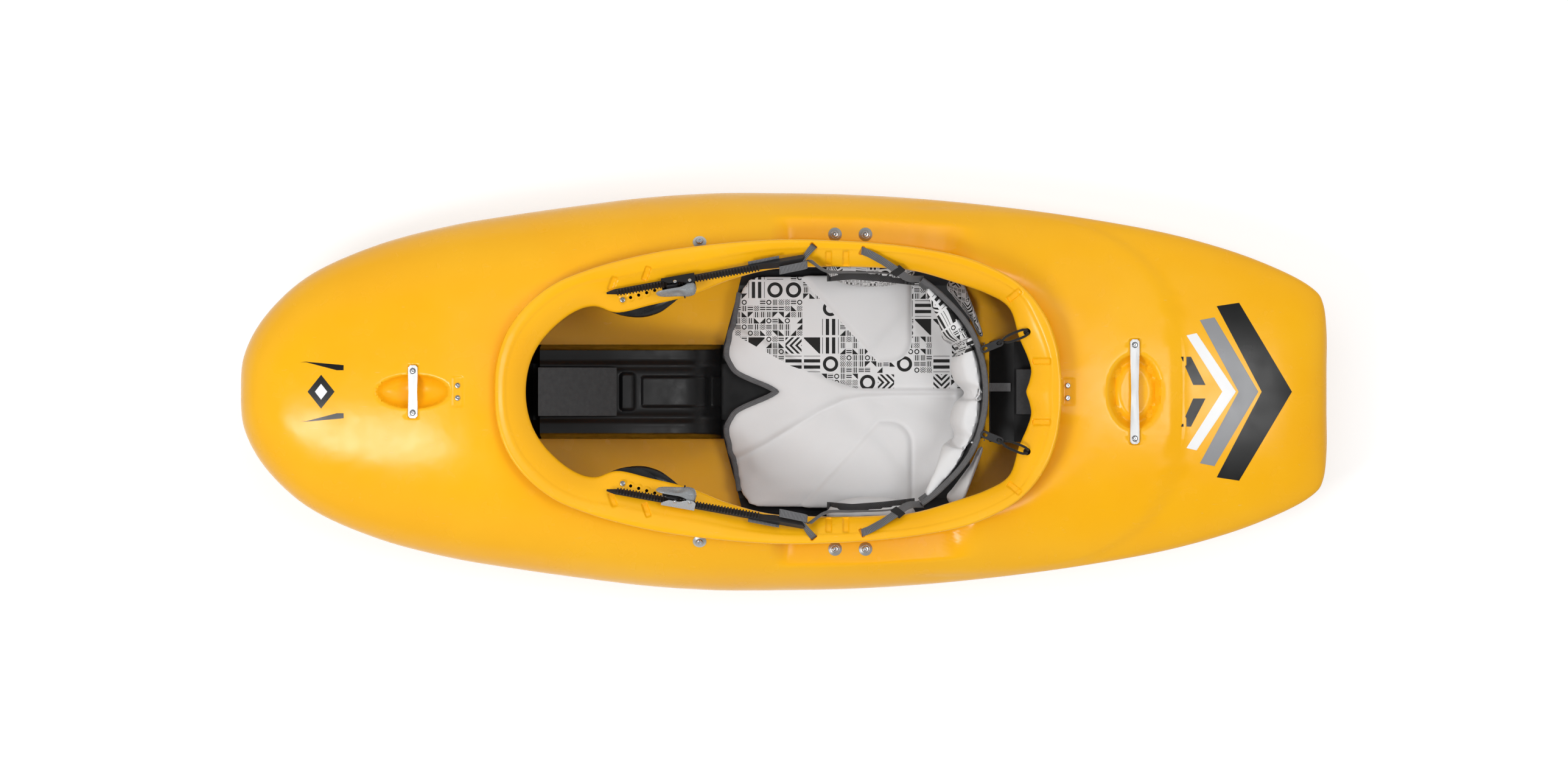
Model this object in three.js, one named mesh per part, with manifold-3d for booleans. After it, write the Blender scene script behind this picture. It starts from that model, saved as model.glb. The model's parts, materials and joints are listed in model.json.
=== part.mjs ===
import * as THREE from "three";
import { mergeVertices } from "three/addons/utils/BufferGeometryUtils.js";
import Module from "manifold-3d";

const wasm = await Module();
wasm.setup();

// A whitewater play kayak in millimetres: bow towards -X, stern towards +X, paddler's right at +Y, +Z up.
// The planing bottom lies on z = 0 under the middle of the hull's length.

// Driving dimensions of the hull
const hullLength = 1930;
const hullBeam = 706;
const hullWall = 5;
const gunwaleHeight = 168;
const gunwaleBowRise = 40;
const gunwaleSternDrop = 22;
const bowRocker = 118;
const sternRocker = 82;
const planingBow = 180;
const planingStern = 220;
const planingSink = 3;

// Driving dimensions of the cockpit rim
const cockpitCentreX = -10;
const rimLength = 1004;
const rimWidth = 540;
const rimEndWidth = 54.5;
const rimSideWidth = 49;
const openingLength = rimLength - 2 * rimEndWidth;
const openingWidth = rimWidth - 2 * rimSideWidth;
const rimFrontHeight = 350;
const rimStand = 30;
const deckCrown = rimFrontHeight - gunwaleHeight - rimStand;
const rimRearHeight = 285;
const rimLipThickness = 12;
const rimLipOverhang = 22;
const rimLipRound = 4;
const rimFlangeDrop = 30;
const rimEdgeDepth = 12;
const neckFoot = 10;
const troughDepth = 4;

// Driving dimensions of the bolt shelves beside the rim
const shelfFrontX = -10;
const shelfRearX = 320;
const shelfRamp = 26;
const shelfOuterShare = 0.875;

// Clearances
const fit = 0.3;
const looseFit = 0.6;
const overrun = 15;
const weld = 1e-3;

// Materials of the pieces
const finish = (color, roughness, metalness = 0) =>
  new THREE.MeshStandardMaterial({ color, roughness, metalness });
const hullPlastic = finish(0xfdb913, 0.42);
const blackPlastic = finish(0x151515, 0.5);
const clearPlastic = finish(0xc9cdd0, 0.15);
const darkFoam = finish(0x383838, 0.9);
const greyCushion = finish(0xdcdcdc, 0.7);
const greyWebbing = finish(0x565656, 0.95);
const blackCord = finish(0x101010, 0.8);
const steel = finish(0xb5b8bc, 0.3, 1);
const aluminium = finish(0xd0d3d6, 0.35, 1);

// The loops of the hull in plan, from bow to stern, as shares of half length and half width of each loop.
// Row n of the three tables lies on one ray from the cockpit opening over the rim to the gunwale.
const gunwaleShares = [
  [-1, 0], [-0.992, 0.2], [-0.949, 0.402], [-0.87, 0.592], [-0.75, 0.738], [-0.622, 0.832],
  [-0.499, 0.89], [-0.375, 0.938], [-0.249, 0.979], [-0.124, 1], [0, 1], [0.13, 0.992],
  [0.269, 0.968], [0.415, 0.927], [0.56, 0.872], [0.705, 0.799], [0.829, 0.705], [0.925, 0.6],
  [0.977, 0.515], [0.994, 0.44], [1, 0.3], [1, 0.1], [1, 0],
];
const rimShares = [
  [-1, 0], [-0.992, 0.2], [-0.955, 0.4], [-0.886, 0.57], [-0.787, 0.711], [-0.667, 0.802],
  [-0.548, 0.867], [-0.408, 0.923], [-0.269, 0.959], [-0.13, 0.985], [0.02, 1], [0.179, 0.994],
  [0.349, 0.975], [0.508, 0.94], [0.667, 0.878], [0.801, 0.77], [0.886, 0.645], [0.948, 0.48],
  [0.98, 0.32], [0.992, 0.2], [0.998, 0.11], [1, 0.04], [1, 0],
];
const openingShares = [
  [-1, 0], [-0.987, 0.2], [-0.95, 0.37], [-0.887, 0.52], [-0.807, 0.64], [-0.727, 0.684],
  [-0.637, 0.634], [-0.512, 0.69], [-0.345, 0.774], [-0.192, 0.896], [-0.02, 0.982], [0.178, 1],
  [0.367, 0.996], [0.532, 0.97], [0.684, 0.885], [0.824, 0.787], [0.914, 0.67], [0.952, 0.44],
  [0.984, 0.29], [1, 0.18], [0.994, 0.09], [0.984, 0.03], [0.981, 0],
];
const rayCount = 76;

// Height of the deck's crown above the gunwale, as shares of the hull's half length and of the crown
const crownShares = [
  [-1, 0.46], [-0.8, 0.645], [-0.62, 0.84], [-0.5, 0.895], [-0.3, 0.97], [0, 1],
  [0.3, 0.78], [0.5, 0.5], [0.7, 0.41], [0.85, 0.33], [1, 0.24],
];
const deckRoundness = { across: 2.2, root: 1.8 };
const bottomRoundness = { across: 5, root: 1.6 };
const endRoundness = { along: 24, root: 2 };
const rockerPower = 1.9;
const tailRaiseShare = 0.12;
const tailRaiseShares = { centre: 0.25, length: 0.48, width: 0.925, ramp: 0.05 };
const tailRaiseRoundness = 3;

const halfLength = hullLength / 2;
const halfBeam = hullBeam / 2;
const rimFrontX = cockpitCentreX - rimLength / 2;
const rimRearX = cockpitCentreX + rimLength / 2;
const openingFrontX = cockpitCentreX - openingLength / 2;
const openingRearX = cockpitCentreX + openingLength / 2;
const up = new THREE.Vector3(0, 0, 1);

// Small helpers for shapes

const mix = (a, b, share) => a + (b - a) * share;

function smooth(value, from, to) {
  return THREE.MathUtils.smoothstep(value, from, to);
}

// Value at x of a table of [x, value] pairs, with a smooth curve between them
function tableValue(table, x) {
  const last = table.length - 1;
  let n = 0;
  while (n < last - 1 && table[n + 1][0] < x) n += 1;
  const share = THREE.MathUtils.clamp((x - table[n][0]) / (table[n + 1][0] - table[n][0]), 0, 1);
  const before = table[Math.max(n - 1, 0)];
  const after = table[Math.min(n + 2, last)];
  const span = table[n + 1][0] - table[n][0];
  const slopeA = ((table[n + 1][1] - before[1]) / (table[n + 1][0] - before[0])) * span;
  const slopeB = ((after[1] - table[n][1]) / (after[0] - table[n][0])) * span;
  const square = share * share;
  const cube = square * share;
  return (
    table[n][1] * (2 * cube - 3 * square + 1) +
    slopeA * (cube - 2 * square + share) +
    table[n + 1][1] * (3 * square - 2 * cube) +
    slopeB * (cube - square)
  );
}

function solidOf(geometry) {
  const loose = geometry.index ? geometry.toNonIndexed() : geometry;
  const bare = new THREE.BufferGeometry().setAttribute("position", loose.getAttribute("position"));
  const merged = mergeVertices(bare, weld);
  const vertProperties = new Float32Array(merged.attributes.position.array);
  const triVerts = new Uint32Array(merged.index.array);
  const solid = new wasm.Manifold(new wasm.Mesh({ numProp: 3, vertProperties, triVerts }));
  if (solid.volume() >= 0) return solid;
  for (let i = 0; i < triVerts.length; i += 3) {
    [triVerts[i + 1], triVerts[i + 2]] = [triVerts[i + 2], triVerts[i + 1]];
  }
  return new wasm.Manifold(new wasm.Mesh({ numProp: 3, vertProperties, triVerts }));
}

function geometryOf(solid) {
  const { vertProperties, triVerts } = solid.getMesh();
  const geometry = new THREE.BufferGeometry();
  geometry.setAttribute("position", new THREE.BufferAttribute(new Float32Array(vertProperties), 3));
  geometry.setIndex(new THREE.BufferAttribute(new Uint32Array(triVerts), 1));
  geometry.computeVertexNormals();
  return geometry;
}

function piece(name, shape, material) {
  const solid = shape.isBufferGeometry ? solidOf(shape) : shape;
  const mesh = new THREE.Mesh(geometryOf(solid), material);
  mesh.name = name;
  return mesh;
}

// Rings of as many points each, joined in order; open rows of rings get a fan at both ends
function loft(rings, closed = false) {
  const count = rings[0].length;
  const position = rings.flat().flatMap((point) => [point.x, point.y, point.z]);
  const index = [];
  const bands = closed ? rings.length : rings.length - 1;
  for (let r = 0; r < bands; r += 1) {
    const near = r * count;
    const far = ((r + 1) % rings.length) * count;
    for (let i = 0; i < count; i += 1) {
      const j = (i + 1) % count;
      index.push(near + i, near + j, far + i, near + j, far + j, far + i);
    }
  }
  const addFan = (start, flip) => {
    const hub = position.length / 3;
    const middle = new THREE.Vector3();
    for (let i = 0; i < count; i += 1) {
      middle.add(new THREE.Vector3().fromArray(position, (start + i) * 3));
    }
    position.push(...middle.divideScalar(count).toArray());
    for (let i = 0; i < count; i += 1) {
      const j = (i + 1) % count;
      index.push(...(flip ? [hub, start + i, start + j] : [hub, start + j, start + i]));
    }
  };
  if (!closed) {
    addFan(0, false);
    addFan((rings.length - 1) * count, true);
  }
  const geometry = new THREE.BufferGeometry();
  geometry.setAttribute("position", new THREE.Float32BufferAttribute(position, 3));
  geometry.setIndex(index);
  return geometry;
}

function prism(points, depth, holes = []) {
  const shape = new THREE.Shape(points.map(([x, y]) => new THREE.Vector2(x, y)));
  holes.forEach((hole) => shape.holes.push(hole));
  return new THREE.ExtrudeGeometry(shape, { depth, bevelEnabled: false });
}

// A prism whose profile is given in x and z, from -halfWidth to halfWidth across
function sidePrism(points, halfWidth) {
  return prism(points, 2 * halfWidth).rotateX(Math.PI / 2).translate(0, halfWidth, 0);
}

// A prism whose profile is given in y and z, between two places along x
function crossPrism(points, fromX, toX) {
  const turn = new THREE.Matrix4().makeBasis(
    new THREE.Vector3(0, 1, 0),
    up,
    new THREE.Vector3(1, 0, 0),
  );
  return prism(points, toX - fromX).applyMatrix4(turn).translate(fromX, 0, 0);
}

function block(lengthX, widthY, heightZ, x = 0, y = 0, z = 0) {
  return new THREE.BoxGeometry(lengthX, widthY, heightZ).translate(x, y, z);
}

function rod(radius, from, to, sides = 12) {
  return new THREE.CylinderGeometry(radius, radius, to - from, sides)
    .rotateX(Math.PI / 2)
    .translate(0, 0, (from + to) / 2);
}

// A rod whose flats lie at the radius, so that a round pin of that radius passes through it
function bore(radius, from, to, sides) {
  return rod(radius / Math.cos(Math.PI / sides), from, to, sides);
}

// A flat strip of constant width and thickness along a smooth route, turned between two width axes
function ribbon(route, startAxis, endAxis, width, thickness, steps) {
  const path = new THREE.CatmullRomCurve3(route);
  const rings = [];
  for (let n = 0; n <= steps; n += 1) {
    const along = path.getTangentAt(n / steps);
    const widthAxis = startAxis.clone().lerp(endAxis, n / steps);
    const normal = along.clone().cross(widthAxis).normalize().multiplyScalar(thickness / 2);
    const side = normal.clone().cross(along).setLength(width / 2);
    const centre = path.getPointAt(n / steps);
    rings.push(
      [[1, 1], [-1, 1], [-1, -1], [1, -1]].map(([a, b]) =>
        centre.clone().addScaledVector(side, a).addScaledVector(normal, b),
      ),
    );
  }
  return loft(rings);
}

// A round cord along a smooth route, with its section kept upright
function cord(route, radius, sides, steps) {
  const path = new THREE.CatmullRomCurve3(route);
  const frames = path.computeFrenetFrames(steps, false);
  const rings = [];
  for (let n = 0; n <= steps; n += 1) {
    const centre = path.getPointAt(n / steps);
    rings.push(
      Array.from({ length: sides }, (_, i) => {
        const angle = (i / sides) * 2 * Math.PI;
        return centre
          .clone()
          .addScaledVector(frames.normals[n], radius * Math.cos(angle))
          .addScaledVector(frames.binormals[n], radius * Math.sin(angle));
      }),
    );
  }
  return loft(rings);
}

// The outline of a slot or bar with round ends, along x
function stadium(length, width, centreX = 0, steps = 5) {
  const radius = width / 2;
  const reach = length / 2 - radius;
  const points = [];
  for (const end of [1, -1]) {
    for (let n = 0; n <= steps; n += 1) {
      const angle = -Math.PI / 2 + (n / steps) * Math.PI;
      points.push([
        centreX + end * (reach + radius * Math.cos(angle)),
        end * radius * Math.sin(angle),
      ]);
    }
  }
  return points;
}

// Hull form: loops in plan, deck above and bottom below the gunwale

function closedLoop(shares, centreX, halfX, halfY) {
  const right = shares.map(([x, y]) => new THREE.Vector3(centreX + x * halfX, y * halfY, 0));
  const left = right
    .slice(1, -1)
    .reverse()
    .map((point) => new THREE.Vector3(point.x, -point.y, 0));
  return new THREE.CatmullRomCurve3([...right, ...left], true, "catmullrom", 0.5);
}

const gunwaleLoop = closedLoop(gunwaleShares, 0, halfLength, halfBeam);
const rimLoop = closedLoop(rimShares, cockpitCentreX, rimLength / 2, rimWidth / 2);
const openingLoop = closedLoop(openingShares, cockpitCentreX, openingLength / 2, openingWidth / 2);

const gunwaleSamples = 400;
const gunwalePlan = Array.from({ length: gunwaleSamples + 1 }, (_, n) =>
  gunwaleLoop.getPoint(n / gunwaleSamples / 2),
);

// Half width of the hull at x
function halfWidthAt(x) {
  const reach = THREE.MathUtils.clamp(x, gunwalePlan[0].x, gunwalePlan[gunwaleSamples].x);
  const n = gunwalePlan.findIndex((point, i) => i > 0 && point.x >= reach);
  if (n < 0) return gunwalePlan[gunwaleSamples - 1].y;
  const [a, b] = [gunwalePlan[n - 1], gunwalePlan[n]];
  return mix(a.y, b.y, b.x > a.x ? (reach - a.x) / (b.x - a.x) : 0);
}

function gunwaleAt(x) {
  const share = x / halfLength;
  return gunwaleHeight + (share < 0 ? gunwaleBowRise : -gunwaleSternDrop) * share * share;
}

function superellipse(share, { across, root }) {
  return Math.pow(Math.max(0, 1 - Math.pow(Math.min(Math.abs(share), 1), across)), 1 / root);
}

function endClosure(share) {
  return superellipse(share, { across: endRoundness.along, root: endRoundness.root });
}

function keelRise(x) {
  const flat = x < 0 ? planingBow : planingStern;
  const rocker = x < 0 ? bowRocker : sternRocker;
  const share = THREE.MathUtils.clamp((Math.abs(x) - flat) / (halfLength - flat), 0, 1);
  return rocker * Math.pow(share, rockerPower);
}

// Inside the line of the tail step the rear deck stands a little prouder than outside it
function tailRaise(x, y) {
  const { centre, length, width, ramp } = tailRaiseShares;
  const ahead = x / halfLength - centre;
  if (ahead < 0) return 1 + tailRaiseShare;
  const reach = Math.pow(ahead / length, tailRaiseRoundness);
  const spread = Math.pow(Math.abs(y) / halfBeam / width, tailRaiseRoundness);
  return 1 + tailRaiseShare * (1 - smooth(reach + spread, 1 - ramp, 1 + ramp));
}

function shelfShare(x) {
  return (
    smooth(x, shelfFrontX - shelfRamp / 2, shelfFrontX + shelfRamp / 2) *
    (1 - smooth(x, shelfRearX - shelfRamp, shelfRearX + shelfRamp))
  );
}

// Deck and bottom heights of the hull's skin, or of the skin that lies inset further in
function skin(x, y, inset) {
  const planX = (x * halfLength) / (halfLength - inset);
  const planY = (y * halfBeam) / (halfBeam - inset);
  const ahead = THREE.MathUtils.clamp(planX / halfLength, -1, 1);
  const across = Math.min(Math.abs(planY) / halfWidthAt(planX), 1);
  const level = mix(across, Math.max(across, shelfOuterShare), shelfShare(planX));
  const gunwale = gunwaleAt(planX);
  const crown =
    deckCrown * tableValue(crownShares, ahead) * endClosure(ahead) * tailRaise(planX, planY);
  const depth = (gunwale - keelRise(planX) + planingSink) * endClosure(ahead);
  const thin = (size) => (size * size) / (size + inset || 1);
  return {
    top: gunwale + thin(crown) * superellipse(level, deckRoundness),
    bottom: Math.max(inset, gunwale - thin(depth) * superellipse(across, bottomRoundness)),
    gunwale,
  };
}

const deckAt = (x, y) => skin(x, y, 0).top;

const rimSlope = (rimRearHeight - rimFrontHeight) / rimLength;
const rimAt = (x) => rimFrontHeight + rimSlope * (x - cockpitCentreX + rimLength / 2);
const rimTilt = Math.atan(rimSlope);

// Points of one ray across the rim: distance 0 is the opening's edge, span is the rim's outer edge
function rayAt(share) {
  const gunwale = gunwaleLoop.getPoint(share);
  const rim = rimLoop.getPoint(share);
  const opening = openingLoop.getPoint(share);
  const span = rim.distanceTo(opening);
  const out = rim.clone().sub(opening).divideScalar(span);
  return { gunwale, rim, opening, span, out };
}

const rays = Array.from({ length: rayCount }, (_, n) => rayAt(n / rayCount));

function flangeDrop(ray, distance) {
  const share = (ray.span - distance) / ray.span;
  return rimFlangeDrop * share * share;
}

function ringAcrossRim(distanceOf, heightOf) {
  return rays.map((ray) => {
    const distance = distanceOf(ray);
    const point = ray.opening.clone().addScaledVector(ray.out, distance);
    return point.setZ(heightOf(point, ray, distance));
  });
}

const neckAt = (ray) => ray.span - rimLipOverhang;
const footAt = (ray) => neckAt(ray) + neckFoot;

function footHeight(ray, inset) {
  const foot = ray.opening.clone().addScaledVector(ray.out, footAt(ray));
  return skin(foot.x, foot.y, inset).top;
}

const deckRingShares = [0.05, 0.18, 0.36, 0.56, 0.77, 0.93];
const bottomRingShares = [0.97, 0.89, 0.77, 0.58, 0.2];
const innerDeckRingShares = [0.1, 0.42, 0.84];
const innerBottomRingShares = [0.94, 0.8, 0.5];
const flangeRingShares = [0.4, 0.8];

function deckRings(inset) {
  const shares = inset > 0 ? innerDeckRingShares : deckRingShares;
  return shares.map((share, n) =>
    rays.map((ray) => {
      const foot = ray.opening.clone().addScaledVector(ray.out, footAt(ray) - inset);
      const edge = insetGunwale(ray, inset);
      const point = foot.lerp(edge, share);
      const trough = n === 0 ? troughDepth / 2 : 0;
      return point.setZ(skin(point.x, point.y, inset).top - trough);
    }),
  );
}

function insetGunwale(ray, inset) {
  return new THREE.Vector3(
    (ray.gunwale.x * (halfLength - inset)) / halfLength,
    (ray.gunwale.y * (halfBeam - inset)) / halfBeam,
    gunwaleAt(ray.gunwale.x),
  );
}

function bottomRings(inset) {
  const shares = inset > 0 ? innerBottomRingShares : bottomRingShares;
  return shares.map((share) =>
    rays.map((ray) => {
      const point = insetGunwale(ray, inset).multiplyScalar(share);
      return point.setZ(skin(point.x, point.y, inset).bottom);
    }),
  );
}

// The closed outer body, with the cockpit still capped over
function outerBody() {
  return loft([
    ringAcrossRim(() => -overrun, (point) => rimAt(point.x) - rimFlangeDrop),
    ...flangeRingShares.map((share) =>
      ringAcrossRim(
        (ray) => ray.span * share,
        (point, ray, distance) => rimAt(point.x) - flangeDrop(ray, distance),
      ),
    ),
    ringAcrossRim((ray) => ray.span - rimLipRound, (point) => rimAt(point.x) - rimLipRound / 4),
    ringAcrossRim((ray) => ray.span, (point) => rimAt(point.x) - rimLipThickness / 2),
    ringAcrossRim((ray) => ray.span - rimLipRound, (point) => rimAt(point.x) - rimLipThickness),
    ringAcrossRim(neckAt, (point) => rimAt(point.x) - rimLipThickness - rimLipRound),
    ringAcrossRim(neckAt, (point, ray) => footHeight(ray, 0) + neckFoot),
    ringAcrossRim(footAt, (point, ray) => footHeight(ray, 0) - troughDepth),
    ...deckRings(0),
    rays.map((ray) => insetGunwale(ray, 0)),
    ...bottomRings(0),
  ]);
}

// The closed body of the space inside, with a column up through the cockpit
function innerBody(inset) {
  const inner = (ray) => neckAt(ray) - inset;
  return loft([
    ringAcrossRim(() => 0, (point) => rimAt(point.x) + overrun),
    ringAcrossRim(() => 0, (point) => rimAt(point.x) - rimFlangeDrop - rimEdgeDepth),
    ringAcrossRim(() => inset, (point) => rimAt(point.x) - rimFlangeDrop - rimEdgeDepth),
    ringAcrossRim(
      () => inset + rimLipRound / 2,
      (point, ray, distance) => rimAt(point.x) - flangeDrop(ray, distance) - inset,
    ),
    ringAcrossRim(
      (ray) => inner(ray) * 0.6,
      (point, ray, distance) => rimAt(point.x) - flangeDrop(ray, distance) - inset,
    ),
    ringAcrossRim(
      inner,
      (point, ray, distance) => rimAt(point.x) - flangeDrop(ray, distance) - inset,
    ),
    ringAcrossRim(inner, (point, ray) => footHeight(ray, inset) + neckFoot),
    ringAcrossRim((ray) => footAt(ray) - inset, (point, ray) => footHeight(ray, inset) - troughDepth),
    ...deckRings(inset),
    rays.map((ray) => insetGunwale(ray, inset)),
    ...bottomRings(inset),
  ]);
}

// A place on the deck's centre line or beside it, with its own x along the deck and z square to it
function deckFrame(x, y) {
  const step = hullWall;
  const rise = (dx, dy) => deckAt(x + dx, y + dy);
  const along = new THREE.Vector3(2 * step, 0, rise(step, 0) - rise(-step, 0)).normalize();
  const across = new THREE.Vector3(0, 2 * step, rise(0, step) - rise(0, -step));
  const normal = along.clone().cross(across).normalize();
  const frame = new THREE.Matrix4().makeBasis(along, normal.clone().cross(along), normal);
  return frame.setPosition(x, y, deckAt(x, y));
}

// Fasteners
const deckScrew = { head: 5, headHeight: 2.2, shank: 2.4, length: 16 };
const hookScrew = { head: 5, headHeight: 2, shank: 2.2, length: 9 };
const cupWasher = { outer: 12, inner: 6.4, height: 3.2, bore: 3.4 };
const deckBolt = { head: 5.8, headHeight: 2.6, shank: 3, length: 20 };
const domeShare = 0.7;
const fastenerSides = 8;
const washerSides = 10;
const holeSides = 6;

function fastener({ head, headHeight, shank, length }) {
  const profile = [
    [0, -length], [shank, -length], [shank, 0], [head, 0], [head * domeShare, headHeight], [0, headHeight],
  ];
  return new THREE.LatheGeometry(
    profile.map(([r, z]) => new THREE.Vector2(r, z)),
    fastenerSides,
  ).rotateX(Math.PI / 2);
}

function cupWasherRing({ outer, inner, height, bore }) {
  const profile = [[bore, 0], [outer, 0], [inner, height], [bore, height], [bore, 0]];
  return new THREE.LatheGeometry(
    profile.map(([r, z]) => new THREE.Vector2(r, z)),
    washerSides,
  ).rotateX(Math.PI / 2);
}

// Places on the deck's centre line, as shares of the way from the rim to the hull's end
const bowHandleShare = 0.3201;
const frontScrewShare = 0.1457;
const sternHandleShare = 0.2748;
const rearScrewShare = 0.0233;
const foredeck = (share) => mix(rimFrontX, -halfLength, share);
const afterdeck = (share) => mix(rimRearX, halfLength, share);

// Handle bars, each in a slot across the deck over a hand recess
const handles = {
  bow: { x: foredeck(bowHandleShare), length: 94, width: 17, waist: 15.5, thickness: 4, recessX: 63, recessY: 30, depth: 30 },
  stern: { x: afterdeck(sternHandleShare), length: 186, width: 16.5, waist: 13, thickness: 4, recessX: 45, recessY: 66, depth: 32 },
};
const handleSink = 2.5;
const handleScrewInset = 10;
const handleCorner = 4;

function handleOutline({ length, width, waist }) {
  const half = length / 2;
  const end = half - handleCorner;
  const flare = half - 2 * handleScrewInset;
  const corner = (x, y) => [
    [x, (y * width) / 2 - Math.sign(y) * handleCorner],
    [end * Math.sign(x), (y * width) / 2],
  ];
  return [
    ...corner(half, 1),
    [flare, width / 2],
    [0, waist / 2],
    [-flare, width / 2],
    ...corner(-half, 1).reverse(),
    ...corner(-half, -1),
    [-flare, -width / 2],
    [0, -waist / 2],
    [flare, -width / 2],
    ...corner(half, -1).reverse(),
  ];
}

const quarterTurn = Math.PI / 2;

const handleScrewY = ({ length }, side) => side * (length / 2 - handleScrewInset);

// Clearance hole for a deck screw, at y in a frame on the deck
function screwHole(frame, y) {
  const hole = bore(deckScrew.shank + fit, -2 * overrun, overrun, holeSides).translate(0, y, 0);
  return solidOf(hole.applyMatrix4(frame));
}

function handleBar(handle) {
  const { thickness } = handle;
  const bar = prism(handleOutline(handle), thickness).rotateZ(quarterTurn).translate(0, 0, -handleSink);
  let solid = solidOf(bar);
  for (const side of [-1, 1]) {
    const y = handleScrewY(handle, side);
    const { shank, head, headHeight } = deckScrew;
    const top = thickness - handleSink;
    solid = solid
      .subtract(solidOf(rod(shank + fit, -overrun, overrun).translate(0, y, 0)))
      .subtract(solidOf(rod(head + fit, top - headHeight, overrun, 16).translate(0, y, 0)));
  }
  return solid;
}

function handleCuts(handle, grow) {
  const { length, width, recessX, recessY, depth } = handle;
  const bowl = new THREE.SphereGeometry(1, 16, 8)
    .rotateX(quarterTurn)
    .scale(recessX + grow, recessY + grow, depth + grow);
  const slotLength = length + 2 * (looseFit + grow) + 2 * fit;
  const slot = block(width + 2 * (looseFit + grow), slotLength, 2 * (handleSink + fit + grow));
  return solidOf(bowl).add(solidOf(slot));
}

function handleGroup(name, handle) {
  const group = new THREE.Group();
  group.add(piece(`${name}_handle`, handleBar(handle), aluminium));
  for (const [side, y] of [["left", -1], ["right", 1]]) {
    const screw = piece(`${name}_handle_screw_${side}`, fastener(deckScrew), steel);
    screw.position.set(
      0,
      handleScrewY(handle, y),
      handle.thickness - handleSink - deckScrew.headHeight + fit,
    );
    group.add(screw);
  }
  group.applyMatrix4(deckFrame(handle.x, 0));
  return group;
}

// Screws that hold the two pillars to the deck, on a shallow pad
const pillarScrews = {
  front: { x: foredeck(frontScrewShare), spacing: 22, padLength: 20, padWidth: 56 },
  rear: { x: afterdeck(rearScrewShare), spacing: 22, padLength: 20, padWidth: 50 },
};
const padDepth = 2;

function pillarScrewGroup(name, { x, spacing }) {
  const group = new THREE.Group();
  for (const [side, y] of [["left", -1], ["right", 1]]) {
    const screw = piece(`${name}_pillar_screw_${side}`, fastener(deckScrew), steel);
    screw.position.set(0, (y * spacing) / 2, fit - padDepth);
    group.add(screw);
  }
  group.applyMatrix4(deckFrame(x, 0));
  return group;
}

// Bolts through the deck: two on each shelf carry the seat, one ahead carries the brace
const seatBoltXs = [90, 144];
const rimNeckY = rimWidth / 2 - rimLipOverhang;
const seatBoltShare = 0.31;
const seatFlangeShare = 0.49;
const seatBoltY = mix(rimNeckY, halfBeam - hullWall, seatBoltShare);
const flangeOutY = mix(rimNeckY, halfBeam - hullWall, seatFlangeShare);
const braceBolt = { x: -150, asideShare: 0.9815 };
const braceBoltY = (braceBolt.asideShare * rimWidth) / 2;
const boltPlaces = [
  { name: "seat_bolt_front", x: seatBoltXs[0], y: seatBoltY },
  { name: "seat_bolt_rear", x: seatBoltXs[1], y: seatBoltY },
  { name: "brace_bolt", x: braceBolt.x, y: braceBoltY },
];

function boltGroup(sideName, { name, x, y }) {
  const group = new THREE.Group();
  const washer = piece(`${name}_washer_${sideName}`, cupWasherRing(cupWasher), steel);
  washer.position.z = fit;
  const bolt = piece(`${name}_${sideName}`, fastener(deckBolt), steel);
  bolt.position.z = cupWasher.height + 2 * fit;
  group.add(washer, bolt);
  group.applyMatrix4(deckFrame(x, y));
  return group;
}

// A place on the rim or by the opening, as shares of the half length and half width of either
function rimPlace([alongShare, asideShare]) {
  return { x: cockpitCentreX + (alongShare * rimLength) / 2, y: (asideShare * rimWidth) / 2 };
}

function openingPlace([alongShare, asideShare]) {
  return { x: cockpitCentreX + (alongShare * openingLength) / 2, y: (asideShare * openingWidth) / 2 };
}

// Row of holes on each hook of the rim, for the thigh brace
const hookRowShares = [-0.6168, 0.7353];
const hookRow = { ...openingPlace(hookRowShares), pitch: 14.8, angle: 16.6, count: 5 };

function hookHole(n) {
  const angle = THREE.MathUtils.degToRad(hookRow.angle);
  const reach = n * hookRow.pitch;
  return new THREE.Vector3(hookRow.x + reach * Math.cos(angle), hookRow.y + reach * Math.sin(angle), 0);
}

// Pockets in the rim that guide a strap or a cord, with the turn of each in degrees
const pocket = { length: 26, width: 11, depth: 2 };
const pocketShares = [
  [-0.5857, 0.7074], [-0.4661, 0.7741], [0.1763, 0.8741], [0.2371, 0.8741], [0.8317, 0.6333], [0.9283, 0.2],
];
const pocketTurns = [70, 70, 90, 90, 40, 0];

// Holes in the rim for the webbing straps and the elastic loops
const sideSlotShares = [0.1195, 0.9519];
const hipSlotShares = [0.2928, 0.9259];
const loopHoleShares = [0.9832, 0.4796];
const sideSlot = { ...rimPlace(sideSlotShares), turn: 45, length: 26, width: 6 };
const hipSlot = { ...rimPlace(hipSlotShares), turn: -20, length: 18, width: 22 };
const loopHole = { ...openingPlace(loopHoleShares), radius: 6.5 };

// The same solid on the other side of the centre line
function mirrored(solid) {
  return solidOf(geometryOf(solid).scale(1, -1, 1));
}

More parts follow.
